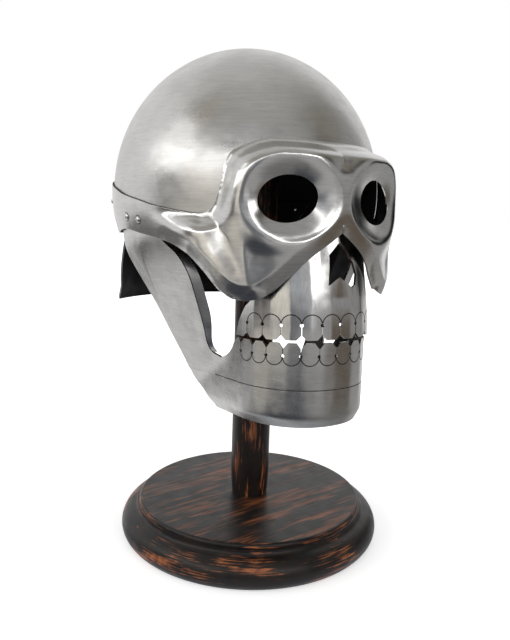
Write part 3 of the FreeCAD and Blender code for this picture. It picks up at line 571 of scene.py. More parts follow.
def flat_mesh(loops, guides, spacing):
    """Triangles that fill the loops, with edges along every loop and guide."""
    coords = []
    edges = []
    for line, closed in [(l, True) for l in loops] + [(g, False) for g in guides]:
        first = len(coords)
        coords += [tuple(p) for p in line]
        edges += [(i, i + 1) for i in range(first, len(coords) - 1)]
        if closed:
            edges.append((len(coords) - 1, first))
    low = loops[0].min(axis=0)
    high = loops[0].max(axis=0)
    xs = np.arange(low[0], high[0] + spacing, spacing)
    ys = np.arange(low[1], high[1] + spacing, spacing * 0.866)
    gx, gy = np.meshgrid(xs, ys)
    gx = (gx + (np.arange(len(ys)) % 2)[:, None] * spacing / 2).ravel()
    gy = gy.ravel()
    keep = inside(loops, gx, gy)
    cells = {}
    for x, y in coords:
        cells.setdefault((int(x // spacing), int(y // spacing)), []).append((x, y))
    for x, y in zip(gx[keep], gy[keep]):
        cx = int(x // spacing)
        cy = int(y // spacing)
        near = any((x - a) ** 2 + (y - b) ** 2 < (0.5 * spacing) ** 2
                   for i in (-1, 0, 1) for j in (-1, 0, 1)
                   for a, b in cells.get((cx + i, cy + j), ()))
        if not near:
            coords.append((x, y))
    verts, _, faces, _, _, _ = delaunay_2d_cdt([Vector(c) for c in coords], edges, [], 1, 1e-5)
    verts = np.array([tuple(v) for v in verts])
    middle = verts[np.array(faces)].mean(axis=1)
    keep = inside(loops, middle[:, 0], middle[:, 1])
    return verts, [face for face, kept in zip(faces, keep) if kept]


def surface_normal(surface, u, v):
    across = surface(u + NORMAL_STEP, v) - surface(u - NORMAL_STEP, v)
    up = surface(u, v + NORMAL_STEP) - surface(u, v - NORMAL_STEP)
    normal = np.cross(across, up)
    return normal / np.linalg.norm(normal, axis=-1, keepdims=True)


def add(name, data):
    """A new object in the scene."""
    made = bpy.data.objects.new(name, data)
    bpy.context.scene.collection.objects.link(made)
    return made


def shade(mesh, angle):
    """Smooth shading, broken at edges sharper than an angle."""
    mesh.polygons.foreach_set("use_smooth", [True] * len(mesh.polygons))
    mesh.set_sharp_from_angle(angle=math.radians(angle))


def sheet(name, body, surface, loops, spacing, thickness=SHEET, guides=(), lines=(), shade_edges=None):
    """Sheet metal: a flat blank formed by surface(u, v), given its thickness inward.

    Material slots: 0 outside and edges, 1 inside, 2 the scribed lines, and the edges that
    shade_edges picks, darkened as painted shade in laps and seams."""
    uv, faces = flat_mesh(loops, guides, spacing)
    u = uv[:, 0]
    v = uv[:, 1]
    outer = surface(u, v)
    inner = outer - surface_normal(surface, u, v) * thickness
    count = len(uv)
    a, b, c = (uv[[f[i] for f in faces]] for i in range(3))
    turn = np.cross(b - a, c - a)
    faces = [tuple(f) if t > 0 else tuple(f[::-1]) for f, t in zip(faces, turn)]
    uses = dict.fromkeys((a, b) for f in faces for a, b in zip(f, f[1:] + f[:1]))
    walls = [(b, a, a + count, b + count) for a, b in uses if (b, a) not in uses]
    back = [tuple(i + count for i in f[::-1]) for f in faces]
    slots = np.repeat([0, 1, 0], [len(faces), len(faces), len(walls)])
    if lines:
        x, y = uv[np.array(faces)].mean(axis=1).T
        scribe = np.min([distance_to(line, x, y) for line in lines], axis=0) < SCRIBE_HALF
        slots[:len(faces)][scribe] = 2
    # walls in laps and seams take the dark slot: painted shade
    if shade_edges:
        dark = [shade_edges(*uv[a]) and shade_edges(*uv[b]) for a, b, _, _ in walls]
        slots[2 * len(faces):][np.array(dark, bool)] = 2
    mesh = bpy.data.meshes.new(name)
    mesh.from_pydata((np.vstack([outer, inner]) * MM).tolist(), [], faces + back + walls)
    mesh.polygons.foreach_set("material_index", slots.tolist())
    shade(mesh, 50)
    piece = add(name, mesh)
    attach(piece, body)
    edge = piece.modifiers.new("Edge", "BEVEL")
    edge.width = EDGE_ROUND * MM
    edge.segments = 2
    edge.limit_method = "ANGLE"
    edge.angle_limit = math.radians(55)
    edge.harden_normals = True
    return piece


def grid(rows):
    """Points and faces of neighbouring rows of equally many points."""
    count = len(rows[0])
    verts = [p for row in rows for p in row]
    faces = [(i * count + j, i * count + j + 1, (i + 1) * count + j + 1, (i + 1) * count + j)
             for i in range(len(rows) - 1) for j in range(count - 1)]
    return verts, faces


def turned(name, body, profile, segments, foot=(0, 0, 0), out=(0, 0, 1)):
    """A lathe-turned piece from (radius, height) points, round the axis from foot along out."""
    foot, out, across = np.array([foot, out, (1, 0, 0)], float)
    up = np.cross(out, across)
    turns = np.append(np.radians(np.arange(segments) * 360 / segments), 0)[:, None]
    spokes = across * np.cos(turns) + up * np.sin(turns)
    rows = [((foot + out * z + spokes * r) * MM).tolist() for r, z in profile]
    verts, faces = grid(rows)
    mesh = bpy.data.meshes.new(name)
    mesh.from_pydata(verts, [], faces)
    bm = bmesh.new()
    bm.from_mesh(mesh)
    bmesh.ops.remove_doubles(bm, verts=bm.verts, dist=1e-6)
    bmesh.ops.recalc_face_normals(bm, faces=bm.faces)
    bm.to_mesh(mesh)
    bm.free()
    shade(mesh, 40)
    piece = add(name, mesh)
    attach(piece, body)
    return piece


# The helmet's sheets


def bowl_loop():
    """The bowl's edge, found along each meridian by repeated averaging."""
    turn = np.radians(np.arange(0, 360, 1.0))
    edge_y, edge_z = np.array(BOWL_EDGE)[::-1].T
    theta = np.full(len(turn), math.pi / 2)
    for _ in range(40):
        y = BOWL_CENTRE_Y + BOWL_Y * np.sin(theta) * np.cos(turn)
        lift = (np.interp(y, edge_y, edge_z) - BOWL_CENTRE_Z) / BOWL_Z
        theta = 0.5 * theta + 0.5 * np.arccos(np.clip(lift, -1, 1))
    return np.stack([np.sin(turn), np.cos(turn)], axis=-1) * (theta * BOWL_X)[:, None]


def mask_loop():
    top, foot, arch = (spline(unrolled(line)) for line in (MASK_TOP, MASK_FOOT, MASK_ARCH))
    brow = straight(top[-1], (0, BROW_Z))
    left = np.vstack([arch[::-1], foot[::-1], straight(foot[0], top[0]), top, brow])
    return chain(left, mirrored(left)[::-1])


def eye_loop(side):
    """The eye opening: an ellipse across the line of sight, brought onto the mask's face."""
    turn, nod, droop = np.radians(EYE_ANGLES)
    normal = np.array([side * math.sin(turn) * math.cos(nod), -math.cos(turn) * math.cos(nod),
                       math.sin(nod)])
    across = np.array([side * math.cos(turn), math.sin(turn), 0])
    up = np.cross(normal, across)
    up = up * np.sign(up[2])
    long_axis = across * math.cos(droop) + up * math.sin(droop)
    short_axis = up * math.cos(droop) - across * math.sin(droop)
    centre = np.array([side, 1, 1]) * EYE_CENTRE
    t = np.radians(np.arange(0, 360, 3.0))
    want = np.stack([EYE_HALF_W * np.cos(t), EYE_HALF_H * np.sin(t)], axis=-1)
    u = side * SOCKET_ANGLE * MM_PER_DEGREE + want[:, 0] * side
    v = EYE_CENTRE[2] + want[:, 1]

    def seen(u, v):
        p = mask_surface(u, v) - centre
        return np.stack([p @ long_axis, p @ short_axis], axis=-1)

    for _ in range(12):
        miss = want - seen(u, v)
        du = (seen(u + 0.1, v) - seen(u - 0.1, v)) / 0.2
        dv = (seen(u, v + 0.1) - seen(u, v - 0.1)) / 0.2
        det = du[:, 0] * dv[:, 1] - du[:, 1] * dv[:, 0]
        u = u + (miss[:, 0] * dv[:, 1] - miss[:, 1] * dv[:, 0]) / det
        v = v + (du[:, 0] * miss[:, 1] - du[:, 1] * miss[:, 0]) / det
    return np.stack([u, v], axis=-1)


def tooth_row(gaps, hole, bite, corner):
    """The cut edge of a row of teeth: at each gap up the slit, round the hole and down again."""
    depth, width = corner
    sign = 1 if hole > bite else -1
    tip = bite + sign * depth
    lean = math.asin(SLIT_HALF / TOOTH_HOLE_R)
    drilled = [(-TOOTH_HOLE_R * math.sin(a), hole - sign * TOOTH_HOLE_R * math.cos(a))
               for a in np.linspace(lean, 2 * math.pi - lean, 15)]
    gap = [(-width, bite), (-SLIT_HALF, tip)] + drilled + [(SLIT_HALF, tip), (width, bite)]
    return [(s + x, z) for s in gaps for x, z in gap]


def tooth_arcs(gaps, hole, sign):
    """The scribed arc over each tooth, from one hole's rim to the next one's."""
    turns = np.radians(np.linspace(12, 168, 27))
    return [np.stack([(a + b) / 2 - (b - a) / 2 * np.cos(turns),
                      hole + sign * (b - a) / 2 * np.sin(turns)], axis=-1)
            for a, b in zip(gaps, gaps[1:])]


def scribed(surface, arcs):
    """The same surface with a narrow groove along each arc."""
    def grooved(u, v):
        near = np.min([distance_to(arc, u, v) for arc in arcs], axis=0)
        depth = SCRIBE_DEPTH * np.clip(1 - near / SCRIBE_HALF, 0, 1)
        return surface(u, v) - surface_normal(surface, u, v) * depth[:, None]
    return grooved


def groove_guides(arcs):
    """Lines along the middle and both sides of each groove."""
    guides = []
    for arc in arcs:
        run = np.gradient(arc, axis=0)
        run /= np.linalg.norm(run, axis=1)[:, None]
        across = np.stack([-run[:, 1], run[:, 0]], axis=-1)
        guides += [arc, arc + across * SCRIBE_HALF, arc - across * SCRIBE_HALF]
    return guides


def upper_loop():
    teeth = tooth_row(UPPER_GAPS, UPPER_HOLE_Z, UPPER_BITE_Z, UPPER_CORNER)
    right = [(-x, z) for x, z in UPPER_SIDE]
    return ring(right[:1] + teeth + UPPER_SIDE + right[:0:-1])


def front_to_flat(points):
    """Front-view points (x, z) as (s, v) of the upper plate."""
    want = np.array(points, float)
    flat = want.copy()
    for _ in range(12):
        flat += want - upper_surface(*flat.T)[:, ::2]
    return flat


def nose_loop():
    return ring(front_to_flat(NOSE_OPENING).tolist(), 0.8)


def dot_loop():
    turns = np.radians(np.arange(0, 360, 30))
    return front_to_flat(NOSE_DOT + NOSE_DOT_R * np.column_stack([np.cos(turns), np.sin(turns)]))


def side_to_flat(points):
    """Side-view points (y, z) of the wearer's left side as (s, v) of the jaw sheet."""
    y, z = np.array(points, float).T
    s = np.where(y < ARM_JOIN_Y, np.interp(y, LOWER[2], LOWER[0]), JOIN_S + y - ARM_JOIN_Y)
    return np.column_stack([s, z - JAW_SLOPE * (y - JAW_FRONT_Y)])


def jaw_loop():
    teeth = tooth_row(LOWER_GAPS, LOWER_HOLE_Z, LOWER_BITE_Z, LOWER_CORNER)
    rear, front, shoulder = (spline(side_to_flat(line)) for line in (ARM_REAR, ARM_FRONT, SHOULDER))
    foot = (rear[0][0], SEAM_Z)
    crown = (shoulder[-1][0] - SHOULDER_STEP, LOWER_BITE_Z)
    left = np.vstack([[foot], rear, front, shoulder[1:], [crown]])
    right = mirrored(left)[::-1]
    return chain(left, dense(teeth[::-1]), right, straight(right[-1], left[0])[1:-1])


def chin_loop():
    side = side_to_flat(CHIN_SIDE)
    side[[0, -1], 1] = FLANGE_Z, SEAM_Z - SEAM_GAP
    left = spline(side)
    right = mirrored(left)[::-1]
    return chain(left, straight(left[-1], right[0]), right, straight(right[-1], left[0]))


def seam_line(v):
    """A line along the seam between jaw sheet and chin band."""
    return straight((-SEAM_REACH, v), (SEAM_REACH, v))


def flange_surface(side):
    """Front edge of an arm, turned in and narrower toward its foot; u runs along it, v inward."""
    line = spline(ARM_FRONT[2:-1])
    walked = np.concatenate([[0], np.cumsum(np.linalg.norm(np.diff(line, axis=0), axis=1))])

    def surface(u, v):
        y = np.interp(u, walked, line[:, 0])
        z = np.interp(u, walked, line[:, 1])
        width = ARM_FLANGE_LEAST + (1 - ARM_FLANGE_LEAST) * smooth(z, *ARM_FLANGE_FOOT)
        x = arm_x(y, z) - SHEET / 2 - v * width
        return np.stack([side * x, y - 2 * v / ARM_FLANGE + 0.2, z], axis=-1)
    return surface, float(walked[-1])


def shade_under_lap(bowl):
    """The bowl's face under the mask, past a polished strip at its top line, takes the black inside
    finish: painted shade under the lap.
    """
    polygons = bowl.data.polygons
    x, y, z = np.array([p.center for p in polygons]).T / MM
    angle = np.degrees(np.arctan2(np.abs(x) / BOWL_X, (BOWL_CENTRE_Y - y) / BOWL_Y))
    under = (angle < MASK_TOP[0][0]) & (below_top(angle * MM_PER_DEGREE, z) > LAP_POLISHED)
    for index in np.nonzero(under)[0]:
        polygons[index].material_index = 1


def make_sheets():
    upper_arcs = tooth_arcs(UPPER_GAPS, UPPER_HOLE_Z, 1)
    lower_arcs = tooth_arcs(LOWER_GAPS, LOWER_HOLE_Z, -1)
    ridges = [straight((s, UPPER_BITE_Z + 0.5), (s, FLUTE_HIGH_Z))
              for s in np.arange(-11, 12, 2) * UPPER_TOOTH / 2]
    crease = [straight((-CREASE_REACH, v), (CREASE_REACH, v)) for v in CREASE_LINES]
    guard = ring(unrolled([(GUARD_TOP_ANGLE, GUARD_TOP_Z), (-GUARD_TOP_ANGLE, GUARD_TOP_Z),
                           (-GUARD_FOOT_ANGLE, GUARD_FOOT_Z),
                           (GUARD_FOOT_ANGLE, GUARD_FOOT_Z)]), 2.0)
    pieces = {
        # the bowl's whole cut edge, hidden in the laps under mask and guard, is darkened as painted
        # shade
        "skull_bowl": sheet("bowl", "helmet", bowl_surface, [bowl_loop()], 3.0,
                            shade_edges=lambda u, v: True),
        # the mask's top edge is darkened: painted shade in the gap where it laps over the bowl
        "face_mask": sheet("mask", "helmet", mask_surface,
                           [mask_loop(), eye_loop(1), eye_loop(-1)], 1.3,
                           shade_edges=lambda u, v: distance_to(TOP_LINE, abs(u), v) < LAP_SHADE),
        "upper_jaw_plate": sheet("upper_jaw", "helmet", scribed(upper_surface, upper_arcs),
                                 [upper_loop(), nose_loop(), dot_loop()], 1.3,
                                 guides=groove_guides(upper_arcs) + ridges, lines=upper_arcs),
        # mandible and chin band: a dark strip and dark edges along their seam, painted shade
        "mandible": sheet("lower_jaw", "helmet", scribed(jaw_surface, lower_arcs), [jaw_loop()],
                          1.6, guides=groove_guides(lower_arcs) + [seam_line(SEAM_Z + SEAM_SHADE)],
                          lines=lower_arcs + [seam_line(SEAM_Z)],
                          shade_edges=lambda u, v: v < SEAM_Z + SEAM_EDGE),
        "chin_band": sheet("chin", "helmet", chin_surface, [chin_loop()], 1.6,
                           guides=crease + [seam_line(SEAM_Z - SEAM_SHADE)],
                           lines=[seam_line(SEAM_Z)],
                           shade_edges=lambda u, v: v > SEAM_Z - SEAM_EDGE),
        "neck_guard": sheet("guard", "helmet", guard_surface, [guard], 4.0),
    }
    shade_under_lap(pieces["skull_bowl"])
    for name, piece in pieces.items():
        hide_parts(name)
    for side, name in ((1, "arm_edge_left"), (-1, "arm_edge_right")):
        surface, length = flange_surface(side)
        loop = ring([(0, 0), (length, 0), (length, ARM_FLANGE), (0, ARM_FLANGE)], 1.5)
        pieces[name] = sheet(name, "helmet", surface, [loop], 1.8, thickness=SHEET * -side)
    return pieces


def nose_pin():
    """A small pin through the bridge of the nose, its head filed nearly flush."""
    profile = [(0, -PIN_GRIP), (PIN_R, -PIN_GRIP), (PIN_R, 0), (PIN_HEAD_R, 0), (PIN_HEAD_R, 0.15),
               (0.8 * PIN_HEAD_R, 0.32), (0.4 * PIN_HEAD_R, 0.4), (0, 0.42)]
    piece = turned("pin", "helmet", profile, 24, foot=mask_surface(0.0, PIN_Z),
                   out=surface_normal(mask_surface, 0.0, PIN_Z))
    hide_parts("nose_pin")
    return piece


# The wooden stand


def arc(a, b, bulge):
    """Points of an arc from a to b, whose middle stands off the chord by bulge, to the right."""
    a = np.array(a, float)
    b = np.array(b, float)
    chord = b - a
    length = np.linalg.norm(chord)
    side = np.array([chord[1], -chord[0]]) / length
    r = (length * length / 4 + bulge * bulge) / (2 * abs(bulge))
    centre = (a + b) / 2 + side * (bulge - math.copysign(r, bulge))
    half = math.asin(min(1, length / 2 / r))
    start = math.atan2(*(a - centre)[::-1])
    angles = start + math.copysign(1, bulge) * np.linspace(0, 2 * half, 14)
    return [tuple(centre + r * np.array([math.cos(t), math.sin(t)])) for t in angles]


def make_stand():
    torus = FOOT_R - 9.2
    lip = DISC_R + 1.4
    base = [(0, 0), (FOOT_R - 4.2, 0)]
    base += arc((FOOT_R - 3.6, 0.2), (FOOT_R, 8), 0.9)
    base += arc((FOOT_R, 8), (torus, 20.5), 2.6)[1:]
    base += [(torus - 1.0, 20.7)] + arc((torus - 1.2, 20.8), (lip, 25.0), -1.0)
    base += [(DISC_R + 0.4, 25.1)] + arc((DISC_R, 25.3), (DISC_R - 1.8, DISC_Z), 0.7)
    base += [(DISC_R - 2.6, DISC_Z), (40, DISC_Z), (0, DISC_Z)]
    foot = turned("base", "stand", base, 256)
    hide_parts("stand_base")
    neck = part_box("stand_head")[0].z / MM
    shaft = [(0, DISC_Z - 1), (POST_FOOT_R, DISC_Z - 1)]
    shaft += arc((POST_FOOT_R, DISC_Z), (POST_R, DISC_Z + 26), 0.3) + [(POST_R, neck), (0, neck)]
    post = turned("post", "stand", shaft, 96)
    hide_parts("stand_post")
    return {"stand_base": foot, "stand_post": post}


# Shader nodes. A value is a number, a colour or another node's socket.


def feed(tree, target, value):
    if isinstance(value, bpy.types.NodeSocket):
        tree.links.new(value, target)
    else:
        target.default_value = value


def node(tree, kind, *sources, **settings):
    """A shader node: sources go into its inputs in order, settings by name (_ for a space)."""
    made = tree.nodes.new("ShaderNode" + kind)
    for key, value in settings.items():
        target = key.replace("_", " ")
        if target in made.inputs:
            feed(tree, made.inputs[target], value)
        else:
            setattr(made, key, value)
    for target, value in zip(made.inputs, sources):
        feed(tree, target, value)
    return made


def material(name):
    mat = bpy.data.materials.new(name)
    mat.use_nodes = True
    mat.node_tree.nodes.clear()
    return mat, mat.node_tree


def coat(tree, **settings):
    """Ends a material in one Principled shader with these inputs."""
    node(tree, "OutputMaterial", node(tree, "BsdfPrincipled", **settings).outputs[0])


def calc(tree, operation, *values):
    return node(tree, "Math", *values, operation=operation).outputs[0]


def remap(tree, value, low, high, to_low=0.0, to_high=1.0):
    """Maps the range low to high onto another one, and clamps."""
    return node(tree, "MapRange", value, low, high, to_low, to_high).outputs[0]


def spread(tree, value, low, high):
    """Maps a 0 to 1 texture onto the range low to high."""
    return remap(tree, value, 0.3, 0.7, low, high)


def length_of(tree, vector):
    return node(tree, "VectorMath", vector, operation="LENGTH").outputs["Value"]


def object_place(tree):
    return node(tree, "TexCoord").outputs["Object"]


def noise(tree, scale, stretch=(1, 1, 1), detail=4.0, rough=0.5, place=None):
    """Noise stretched by a factor an axis, on object coordinates unless a place is given."""
    if place is None:
        place = object_place(tree)
    mapped = node(tree, "Mapping", Vector=place, Scale=stretch).outputs[0]
    made = node(tree, "TexNoise", Vector=mapped, Scale=scale, Detail=detail, Roughness=rough)
    return made.outputs["Fac"]


def ramp(tree, value, stops):
    """Colours along a value, from (position, colour) stops."""
    made = node(tree, "ValToRGB", value)
    elements = made.color_ramp.elements
    for element, (position, colour) in zip(elements, (stops[0], stops[-1])):
        element.position = position
        element.color = (*colour, 1)
    for position, colour in stops[1:-1]:
        elements.new(position).color = (*colour, 1)
    return made.outputs[0]


def multiply(tree, a, b):
    return node(tree, "MixRGB", 1.0, a, b, blend_type="MULTIPLY").outputs[0]


def bump(tree, height, strength, distance, **more):
    made = node(tree, "Bump", Height=height, Strength=strength, Distance=distance, **more)
    return made.outputs[0]


# Materials


def stud_dirt_and_shade(tree, places):
    """Dirt and painted contact shade round rivets on both sides: 1 on clean metal, dark at the foot
    of each head.
    """
    x, y, z = node(tree, "SeparateXYZ", object_place(tree)).outputs
    folded = node(tree, "CombineXYZ", calc(tree, "ABSOLUTE", x), y, z).outputs[0]
    gaps = [node(tree, "VectorMath", folded, tuple(p * MM), operation="DISTANCE").outputs["Value"]
            for p in places]
    nearest = gaps[0]
    for gap in gaps[1:]:
        nearest = calc(tree, "MINIMUM", nearest, gap)
    fade = remap(tree, nearest, RIVET_HEAD_R * MM, (RIVET_HEAD_R + RIVET_DIRT_AND_SHADE) * MM)
    stops = [(0.0, (0.06, 0.055, 0.05)), (0.4, (0.35, 0.34, 0.32)), (1.0, (1, 1, 1))]
    return ramp(tree, fade, stops)


def steel(name, tone, rough, brush, marks=0.1, studs=()):
    """Hand-worked steel: slight dents, cloudy polish, fine abrasive marks and faint stains.

    The marks run along the axis on which brush is smallest."""
    mat, tree = material(name)
    cloud = noise(tree, 16.0, detail=8.0, rough=0.62)
    hairs = noise(tree, 700.0, brush, detail=6.0, rough=0.7)
    dark = tuple(tone * f for f in (0.9, 0.88, 0.85))
    light = tuple(tone * f for f in (1.03, 1.02, 1.0))
    marked = ramp(tree, hairs, [(0.3, (0.86, 0.86, 0.87)), (0.6, (1, 1, 1))])
    colour = multiply(tree, ramp(tree, cloud, [(0.32, dark), (0.62, light)]), marked)
    # dirt and painted contact shade round the rivet heads
    if studs:
        colour = multiply(tree, colour, stud_dirt_and_shade(tree, studs))
    polish = spread(tree, noise(tree, 45.0, detail=8.0, rough=0.7), rough * 0.75, rough * 1.3)
    hammered = bump(tree, noise(tree, 42.0, detail=2.0), 1.0, 0.0005)
    brushed = bump(tree, hairs, marks, 0.0002, Normal=hammered)
    coat(tree, Metallic=1.0, Base_Color=colour, Roughness=polish, Normal=brushed)
    return mat


# Dull materials: noise that mottles two tones (scale, stretch, detail), the tones, scale of the
# noise in the roughness, its range, specular level, and a bump's noise, strength and depth
ALL_WAYS = (1, 1, 1)
DULL = {
    # dark scale left in a scribed line; also laid along laps and seams as painted shade
    "scale_and_seam_shade": ((300.0,), (0.012, 0.011, 0.01), (0.06, 0.055, 0.05), 200.0, (0.5, 0.8),
                     0.5, None),
    # inside faces: blackened and left rough, with the sheen of the metal showing faintly; also the
    # bowl's face under the mask, as painted shade
    "black_inside": ((30.0, ALL_WAYS, 6.0), (0.003, 0.003, 0.0035), (0.009, 0.0088, 0.009), 60.0,
                     (0.45, 0.65), 0.12, ((400.0, ALL_WAYS, 5.0), 0.25, 0.0003)),
    "liner_leather": ((120.0, ALL_WAYS, 6.0), (0.010, 0.007, 0.006), (0.028, 0.018, 0.013), 40.0,
                      (0.6, 0.85), 0.25, ((500.0, ALL_WAYS, 6.0), 0.4, 0.0005)),
    "cord_cotton": ((400.0, (1, 1, 3)), (0.09, 0.06, 0.04), (0.2, 0.15, 0.1), 90.0, (0.7, 0.9),
                    0.5, ((900.0, (1, 1, 4)), 0.6, 0.0005)),
}


def dull(name):
    mottle, dark, light, wear, roughness, specular, relief = DULL[name]
    mat, tree = material(name)
    settings = {}
    if relief:
        texture, strength, depth = relief
        settings["Normal"] = bump(tree, noise(tree, *texture), strength, depth)
    coat(tree, Base_Color=ramp(tree, noise(tree, *mottle), [(0.35, dark), (0.7, light)]),
         Roughness=spread(tree, noise(tree, wear), *roughness), Specular_IOR_Level=specular,
         **settings)
    return mat


def polar(tree, place):
    """Arc length, radius and height round a turned piece as coordinates, and the radius."""
    x, y, z = node(tree, "SeparateXYZ", place).outputs
    walk = calc(tree, "MULTIPLY", calc(tree, "ARCTAN2", y, x), FOOT_R * MM)
    radius = length_of(tree, node(tree, "CombineXYZ", x, y).outputs[0])
    return node(tree, "CombineXYZ", walk, radius, z).outputs[0], radius


def streaks(tree, place, fine, patch, low, high, extra=None):
    """Rubbed streaks: long fine lines, kept where a slower patchy texture is strong."""
    total = calc(tree, "ADD", noise(tree, 1.0, fine, 4.0, 0.6, place),
                 noise(tree, 1.0, patch, 3.0, 0.5, place))
    if extra:
        total = calc(tree, "ADD", total, extra)
    return remap(tree, total, low, high)


def lip_wear(tree, radius):
    """More wear on the sharp lip round the disc."""
    stops = [(0.0, (0, 0, 0)), (0.45, (0.06, 0.06, 0.06)), (0.6, (0.12, 0.12, 0.12)),
             (1.0, (0, 0, 0))]
    return ramp(tree, remap(tree, radius, (DISC_R - 2.6) * MM, (DISC_R + 2.0) * MM), stops)


def wood(name, turned_edge):
    """Near-black stained wood, rubbed to orange-brown: along the grain, and round a turned edge."""
    mat, tree = material(name)
    place = object_place(tree)
    if turned_edge:
        grain = node(tree, "Mapping", Vector=place,
                     Rotation=(0, 0, math.radians(GRAIN_TURN))).outputs[0]
        round_place, radius = polar(tree, place)
        along_grain = streaks(tree, grain, (36, 420, 300), (14, 70, 60), 1.0, 1.3)
        round_edge = streaks(tree, round_place, (42, 900, 900), (20, 70, 70), 1.08, 1.19,
                             lip_wear(tree, radius))
        edge = remap(tree, radius, (DISC_R - 3.0) * MM, (DISC_R - 2.2) * MM)
        worn = node(tree, "Mix", data_type="FLOAT", Factor=edge, A=along_grain,
                    B=round_edge).outputs[0]
        tone = noise(tree, 1.0, (30, 260, 260), 4.0, 0.6, grain)
    else:
        worn = streaks(tree, place, (500, 500, 40), (70, 70, 22), 1.08, 1.2)
        tone = noise(tree, 1.0, (260, 260, 30), 4.0, 0.6, place)
    stain = ramp(tree, noise(tree, 60.0, detail=6.0),
                 [(0.35, (0.006, 0.005, 0.005)), (0.7, (0.018, 0.011, 0.008))])
    bare = ramp(tree, tone, [(0.32, (0.09, 0.026, 0.012)), (0.62, (0.36, 0.115, 0.036))])
    coat(tree, Base_Color=node(tree, "MixRGB", worn, stain, bare).outputs[0],
         Roughness=spread(tree, noise(tree, 90.0, detail=5.0), 0.3, 0.44),
         Specular_IOR_Level=0.35, Normal=bump(tree, worn, 0.25, -0.0002))
    return mat


def dress(pieces):
    """Gives every piece its materials in the order of its slots."""
    studs = [mask_surface(angle * MM_PER_DEGREE, z) for angle, z in TEMPLE_RIVETS]
    finishes = {
        "skull_bowl": (steel("bowl_steel", 0.66, 0.3, (0.1, 0.1, 1)), "polished_steel"),
        "face_mask": (steel("mask_steel", 0.66, 0.2, (0.12, 0.12, 1), 0.06, studs),
                      "polished_steel"),
        "upper_jaw_plate": (steel("upper_steel", 0.66, 0.19, (1, 1, 0.1), 0.08), "brushed_steel"),
        "mandible": (steel("jaw_steel", 0.64, 0.27, (0.1, 0.1, 1)), "brushed_steel"),
        "neck_guard": (steel("guard_steel", 0.6, 0.3, (0.1, 0.1, 1)), "brushed_steel"),
        "stand_base": (wood("stained_wood", True), "dark_wood"),
        "stand_post": (wood("stained_post", False), "dark_wood"),
    }
    same = {"chin_band": "mandible", "arm_edge_left": "mandible", "arm_edge_right": "mandible"}
    lined = ("upper_jaw_plate", "mandible", "face_mask", "skull_bowl", "chin_band")
    rivet = steel("rivet_steel", 0.66, 0.22, (1, 1, 1))
    nodes = dict.fromkeys(("temple_rivets_right", "temple_rivets_left", "neck_guard_rivets",
                           "base_screw", "head_screw"), rivet)
    nodes.update(dict.fromkeys(("liner_headband", "liner_crown"), dull("liner_leather")))
    nodes["liner_drawcord"] = dull("cord_cotton")
    nodes["stand_head"] = finishes["stand_post"][0]
    inside_face = dull("black_inside")
    # dark scale for scribed lines, and painted shade along laps and seams
    line = dull("scale_and_seam_shade")
    for name, piece in pieces.items():
        mat, slot = finishes[same.get(name, name)]
        piece.data.materials.append(mat)
        if slot != "dark_wood":
            piece.data.materials.append(mat if name.startswith("arm_edge") else inside_face)
        if name in lined:
            piece.data.materials.append(line)
    pin = nose_pin()
    pin.data.materials.append(rivet)
    for name, mat in nodes.items():
        made = frame["nodes"][name]
        made.data.materials.clear()
        made.data.materials.append(mat)


# Stage, camera and light


def room_colour(bearing, height):
    colour = np.full((len(bearing), 3), ROOM_BASE)
    for west, east, low, high, soft, paint in ROOM:
        across = band(bearing, west - soft, west + soft, east - soft, east + soft)
        if east - west == 360:
            across = np.ones(len(bearing))
        up = band(height, low - soft, low + soft, high - soft, high + soft)
        up = np.where((height > high) & (high == 90), 1.0, up)
        share = (across * up)[:, None]
        colour = colour * (1 - share) + np.array(paint) * share
    return colour


def painted(name, circles, step):
    """A stage mesh of level circles (radius, z), coloured as the room is in each direction."""
    turns = np.radians(np.arange(-180, 181, step))
    rows = [[(r * math.sin(b), -r * math.cos(b), z) for b in turns] for r, z in circles]
    verts, faces = grid(rows)
    mesh = bpy.data.meshes.new(name)
    mesh.from_pydata(verts, [], faces)
    x, y, z = np.array(verts).T
    bearing = np.degrees(np.arctan2(x, -y))
    height = np.degrees(np.arctan2(z - ROOM_CENTRE_Z, np.hypot(x, y)))
    colours = np.column_stack([room_colour(bearing, height), np.ones(len(x))])
    paint = mesh.color_attributes.new("room", "FLOAT_COLOR", "POINT")
    paint.data.foreach_set("color", colours.ravel())
    made = add(name, mesh)
    return made


def room_glow(tree):
    paint = node(tree, "Attribute", attribute_name="room").outputs["Color"]
    return node(tree, "Emission", paint).outputs[0]


def mirror_ray(tree, path):
    """1 for rays that come off metal or through glass."""
    return calc(tree, "MAXIMUM", *(path.outputs[f"Is {kind} Ray"]
                                   for kind in ("Glossy", "Transmission")))


def room():
    """The room round the helmet, which only mirrors see."""
    heights = np.radians(np.arange(ROOM_FOOT, 91, 2))
    made = painted("room", [(ROOM_R * math.cos(h), ROOM_CENTRE_Z + ROOM_R * math.sin(h))
                            for h in heights], 2)
    for rays in ("camera", "diffuse", "shadow", "transmission"):
        setattr(made, "visible_" + rays, False)
    mat, tree = material("room_walls")
    node(tree, "OutputMaterial", room_glow(tree))
    made.data.materials.append(mat)


def floor():
    """A white sweep that keeps the shadow and fades into the backdrop; mirrors see the room's."""
    made = painted("floor", [(r, 0) for r in FLOOR_RINGS], 4)
    mat, tree = material("floor_white")
    path = node(tree, "LightPath")
    fade = remap(tree, length_of(tree, object_place(tree)), *SHADOW_EDGE, *FLOOR_GLOW)
    glow = calc(tree, "MULTIPLY", fade, path.outputs["Is Camera Ray"])
    white = node(tree, "BsdfPrincipled", Base_Color=(0.9, 0.9, 0.9, 1), Roughness=0.9,
                 Emission_Color=(1, 1, 1, 1), Emission_Strength=glow)
    mix = node(tree, "MixShader", mirror_ray(tree, path), white.outputs[0], room_glow(tree))
    node(tree, "OutputMaterial", mix.outputs[0])
    made.data.materials.append(mat)


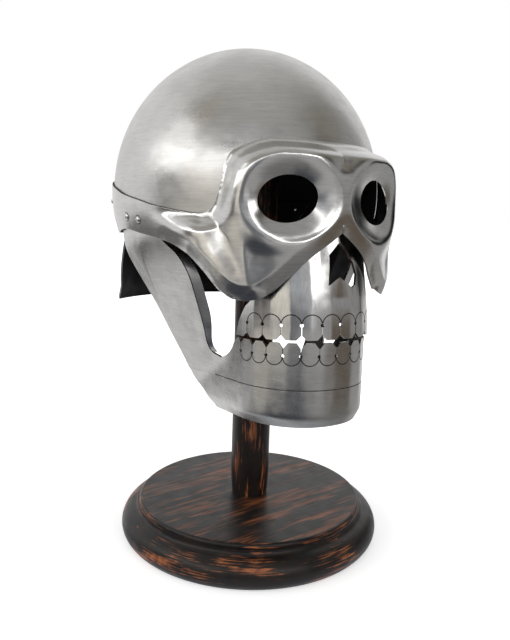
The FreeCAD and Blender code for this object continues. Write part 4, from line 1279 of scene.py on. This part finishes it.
def world():
    """A white backdrop for camera and mirrors, and a softer light on everything."""
    made = bpy.data.worlds.new("studio")
    bpy.context.scene.world = made
    made.use_nodes = True
    tree = made.node_tree
    tree.nodes.clear()
    path = node(tree, "LightPath")
    seen = calc(tree, "MAXIMUM", path.outputs["Is Camera Ray"], mirror_ray(tree, path))
    lit = node(tree, "Background", (1, 1, 1, 1), WORLD_LIGHT).outputs[0]
    white = node(tree, "Background", (1, 1, 1, 1), 1.0).outputs[0]
    node(tree, "OutputWorld", node(tree, "MixShader", seen, lit, white).outputs[0])


def camera():
    """The photograph's viewpoint, found from the turned stand's circles and the bowl's outline."""
    data = bpy.data.cameras.new("camera")
    data.lens = CAMERA_LENS
    data.clip_start = 0.01
    made = add("camera", data)
    bearing, aim, pitch, roll = np.radians(CAMERA_ANGLES).tolist()
    level = Vector((-math.sin(aim), math.cos(aim), 0))
    ahead = level * math.cos(pitch) - Vector((0, 0, math.sin(pitch)))
    across = Vector((level.y, -level.x, 0))
    over = across.cross(ahead)
    right = across * math.cos(roll) + over * math.sin(roll)
    up = over * math.cos(roll) - across * math.sin(roll)
    made.matrix_world = Matrix((right, up, -ahead)).transposed().to_4x4()
    made.location = Vector((math.sin(bearing) * CAMERA_AWAY, -math.cos(bearing) * CAMERA_AWAY,
                            CAMERA_HEIGHT)) * MM
    bpy.context.scene.camera = made


def lamp(name, bearing, height, wide, tall, glow):
    """A soft box seen from the helmet at a bearing and height, wide by tall degrees."""
    data = bpy.data.lights.new(name, "AREA")
    data.shape = "RECTANGLE"
    data.size = 2 * LAMP_AWAY * math.tan(math.radians(wide / 2))
    data.size_y = 2 * LAMP_AWAY * math.tan(math.radians(tall / 2))
    data.energy = glow * math.pi * data.size * data.size_y
    made = add(name, data)
    b = math.radians(bearing)
    h = math.radians(height)
    aim = Vector((math.sin(b) * math.cos(h), -math.cos(b) * math.cos(h), math.sin(h)))
    made.location = aim * LAMP_AWAY + Vector((0, 0, ROOM_CENTRE_Z))
    made.rotation_euler = (-aim).to_track_quat("-Z", "Y").to_euler()
    made.visible_camera = False


pieces = make_sheets()
pieces.update(make_stand())
dress(pieces)
floor()
room()
camera()
for name, box in LAMPS.items():
    lamp(name, *box)
world()
bpy.context.scene.view_settings.view_transform = "Standard"
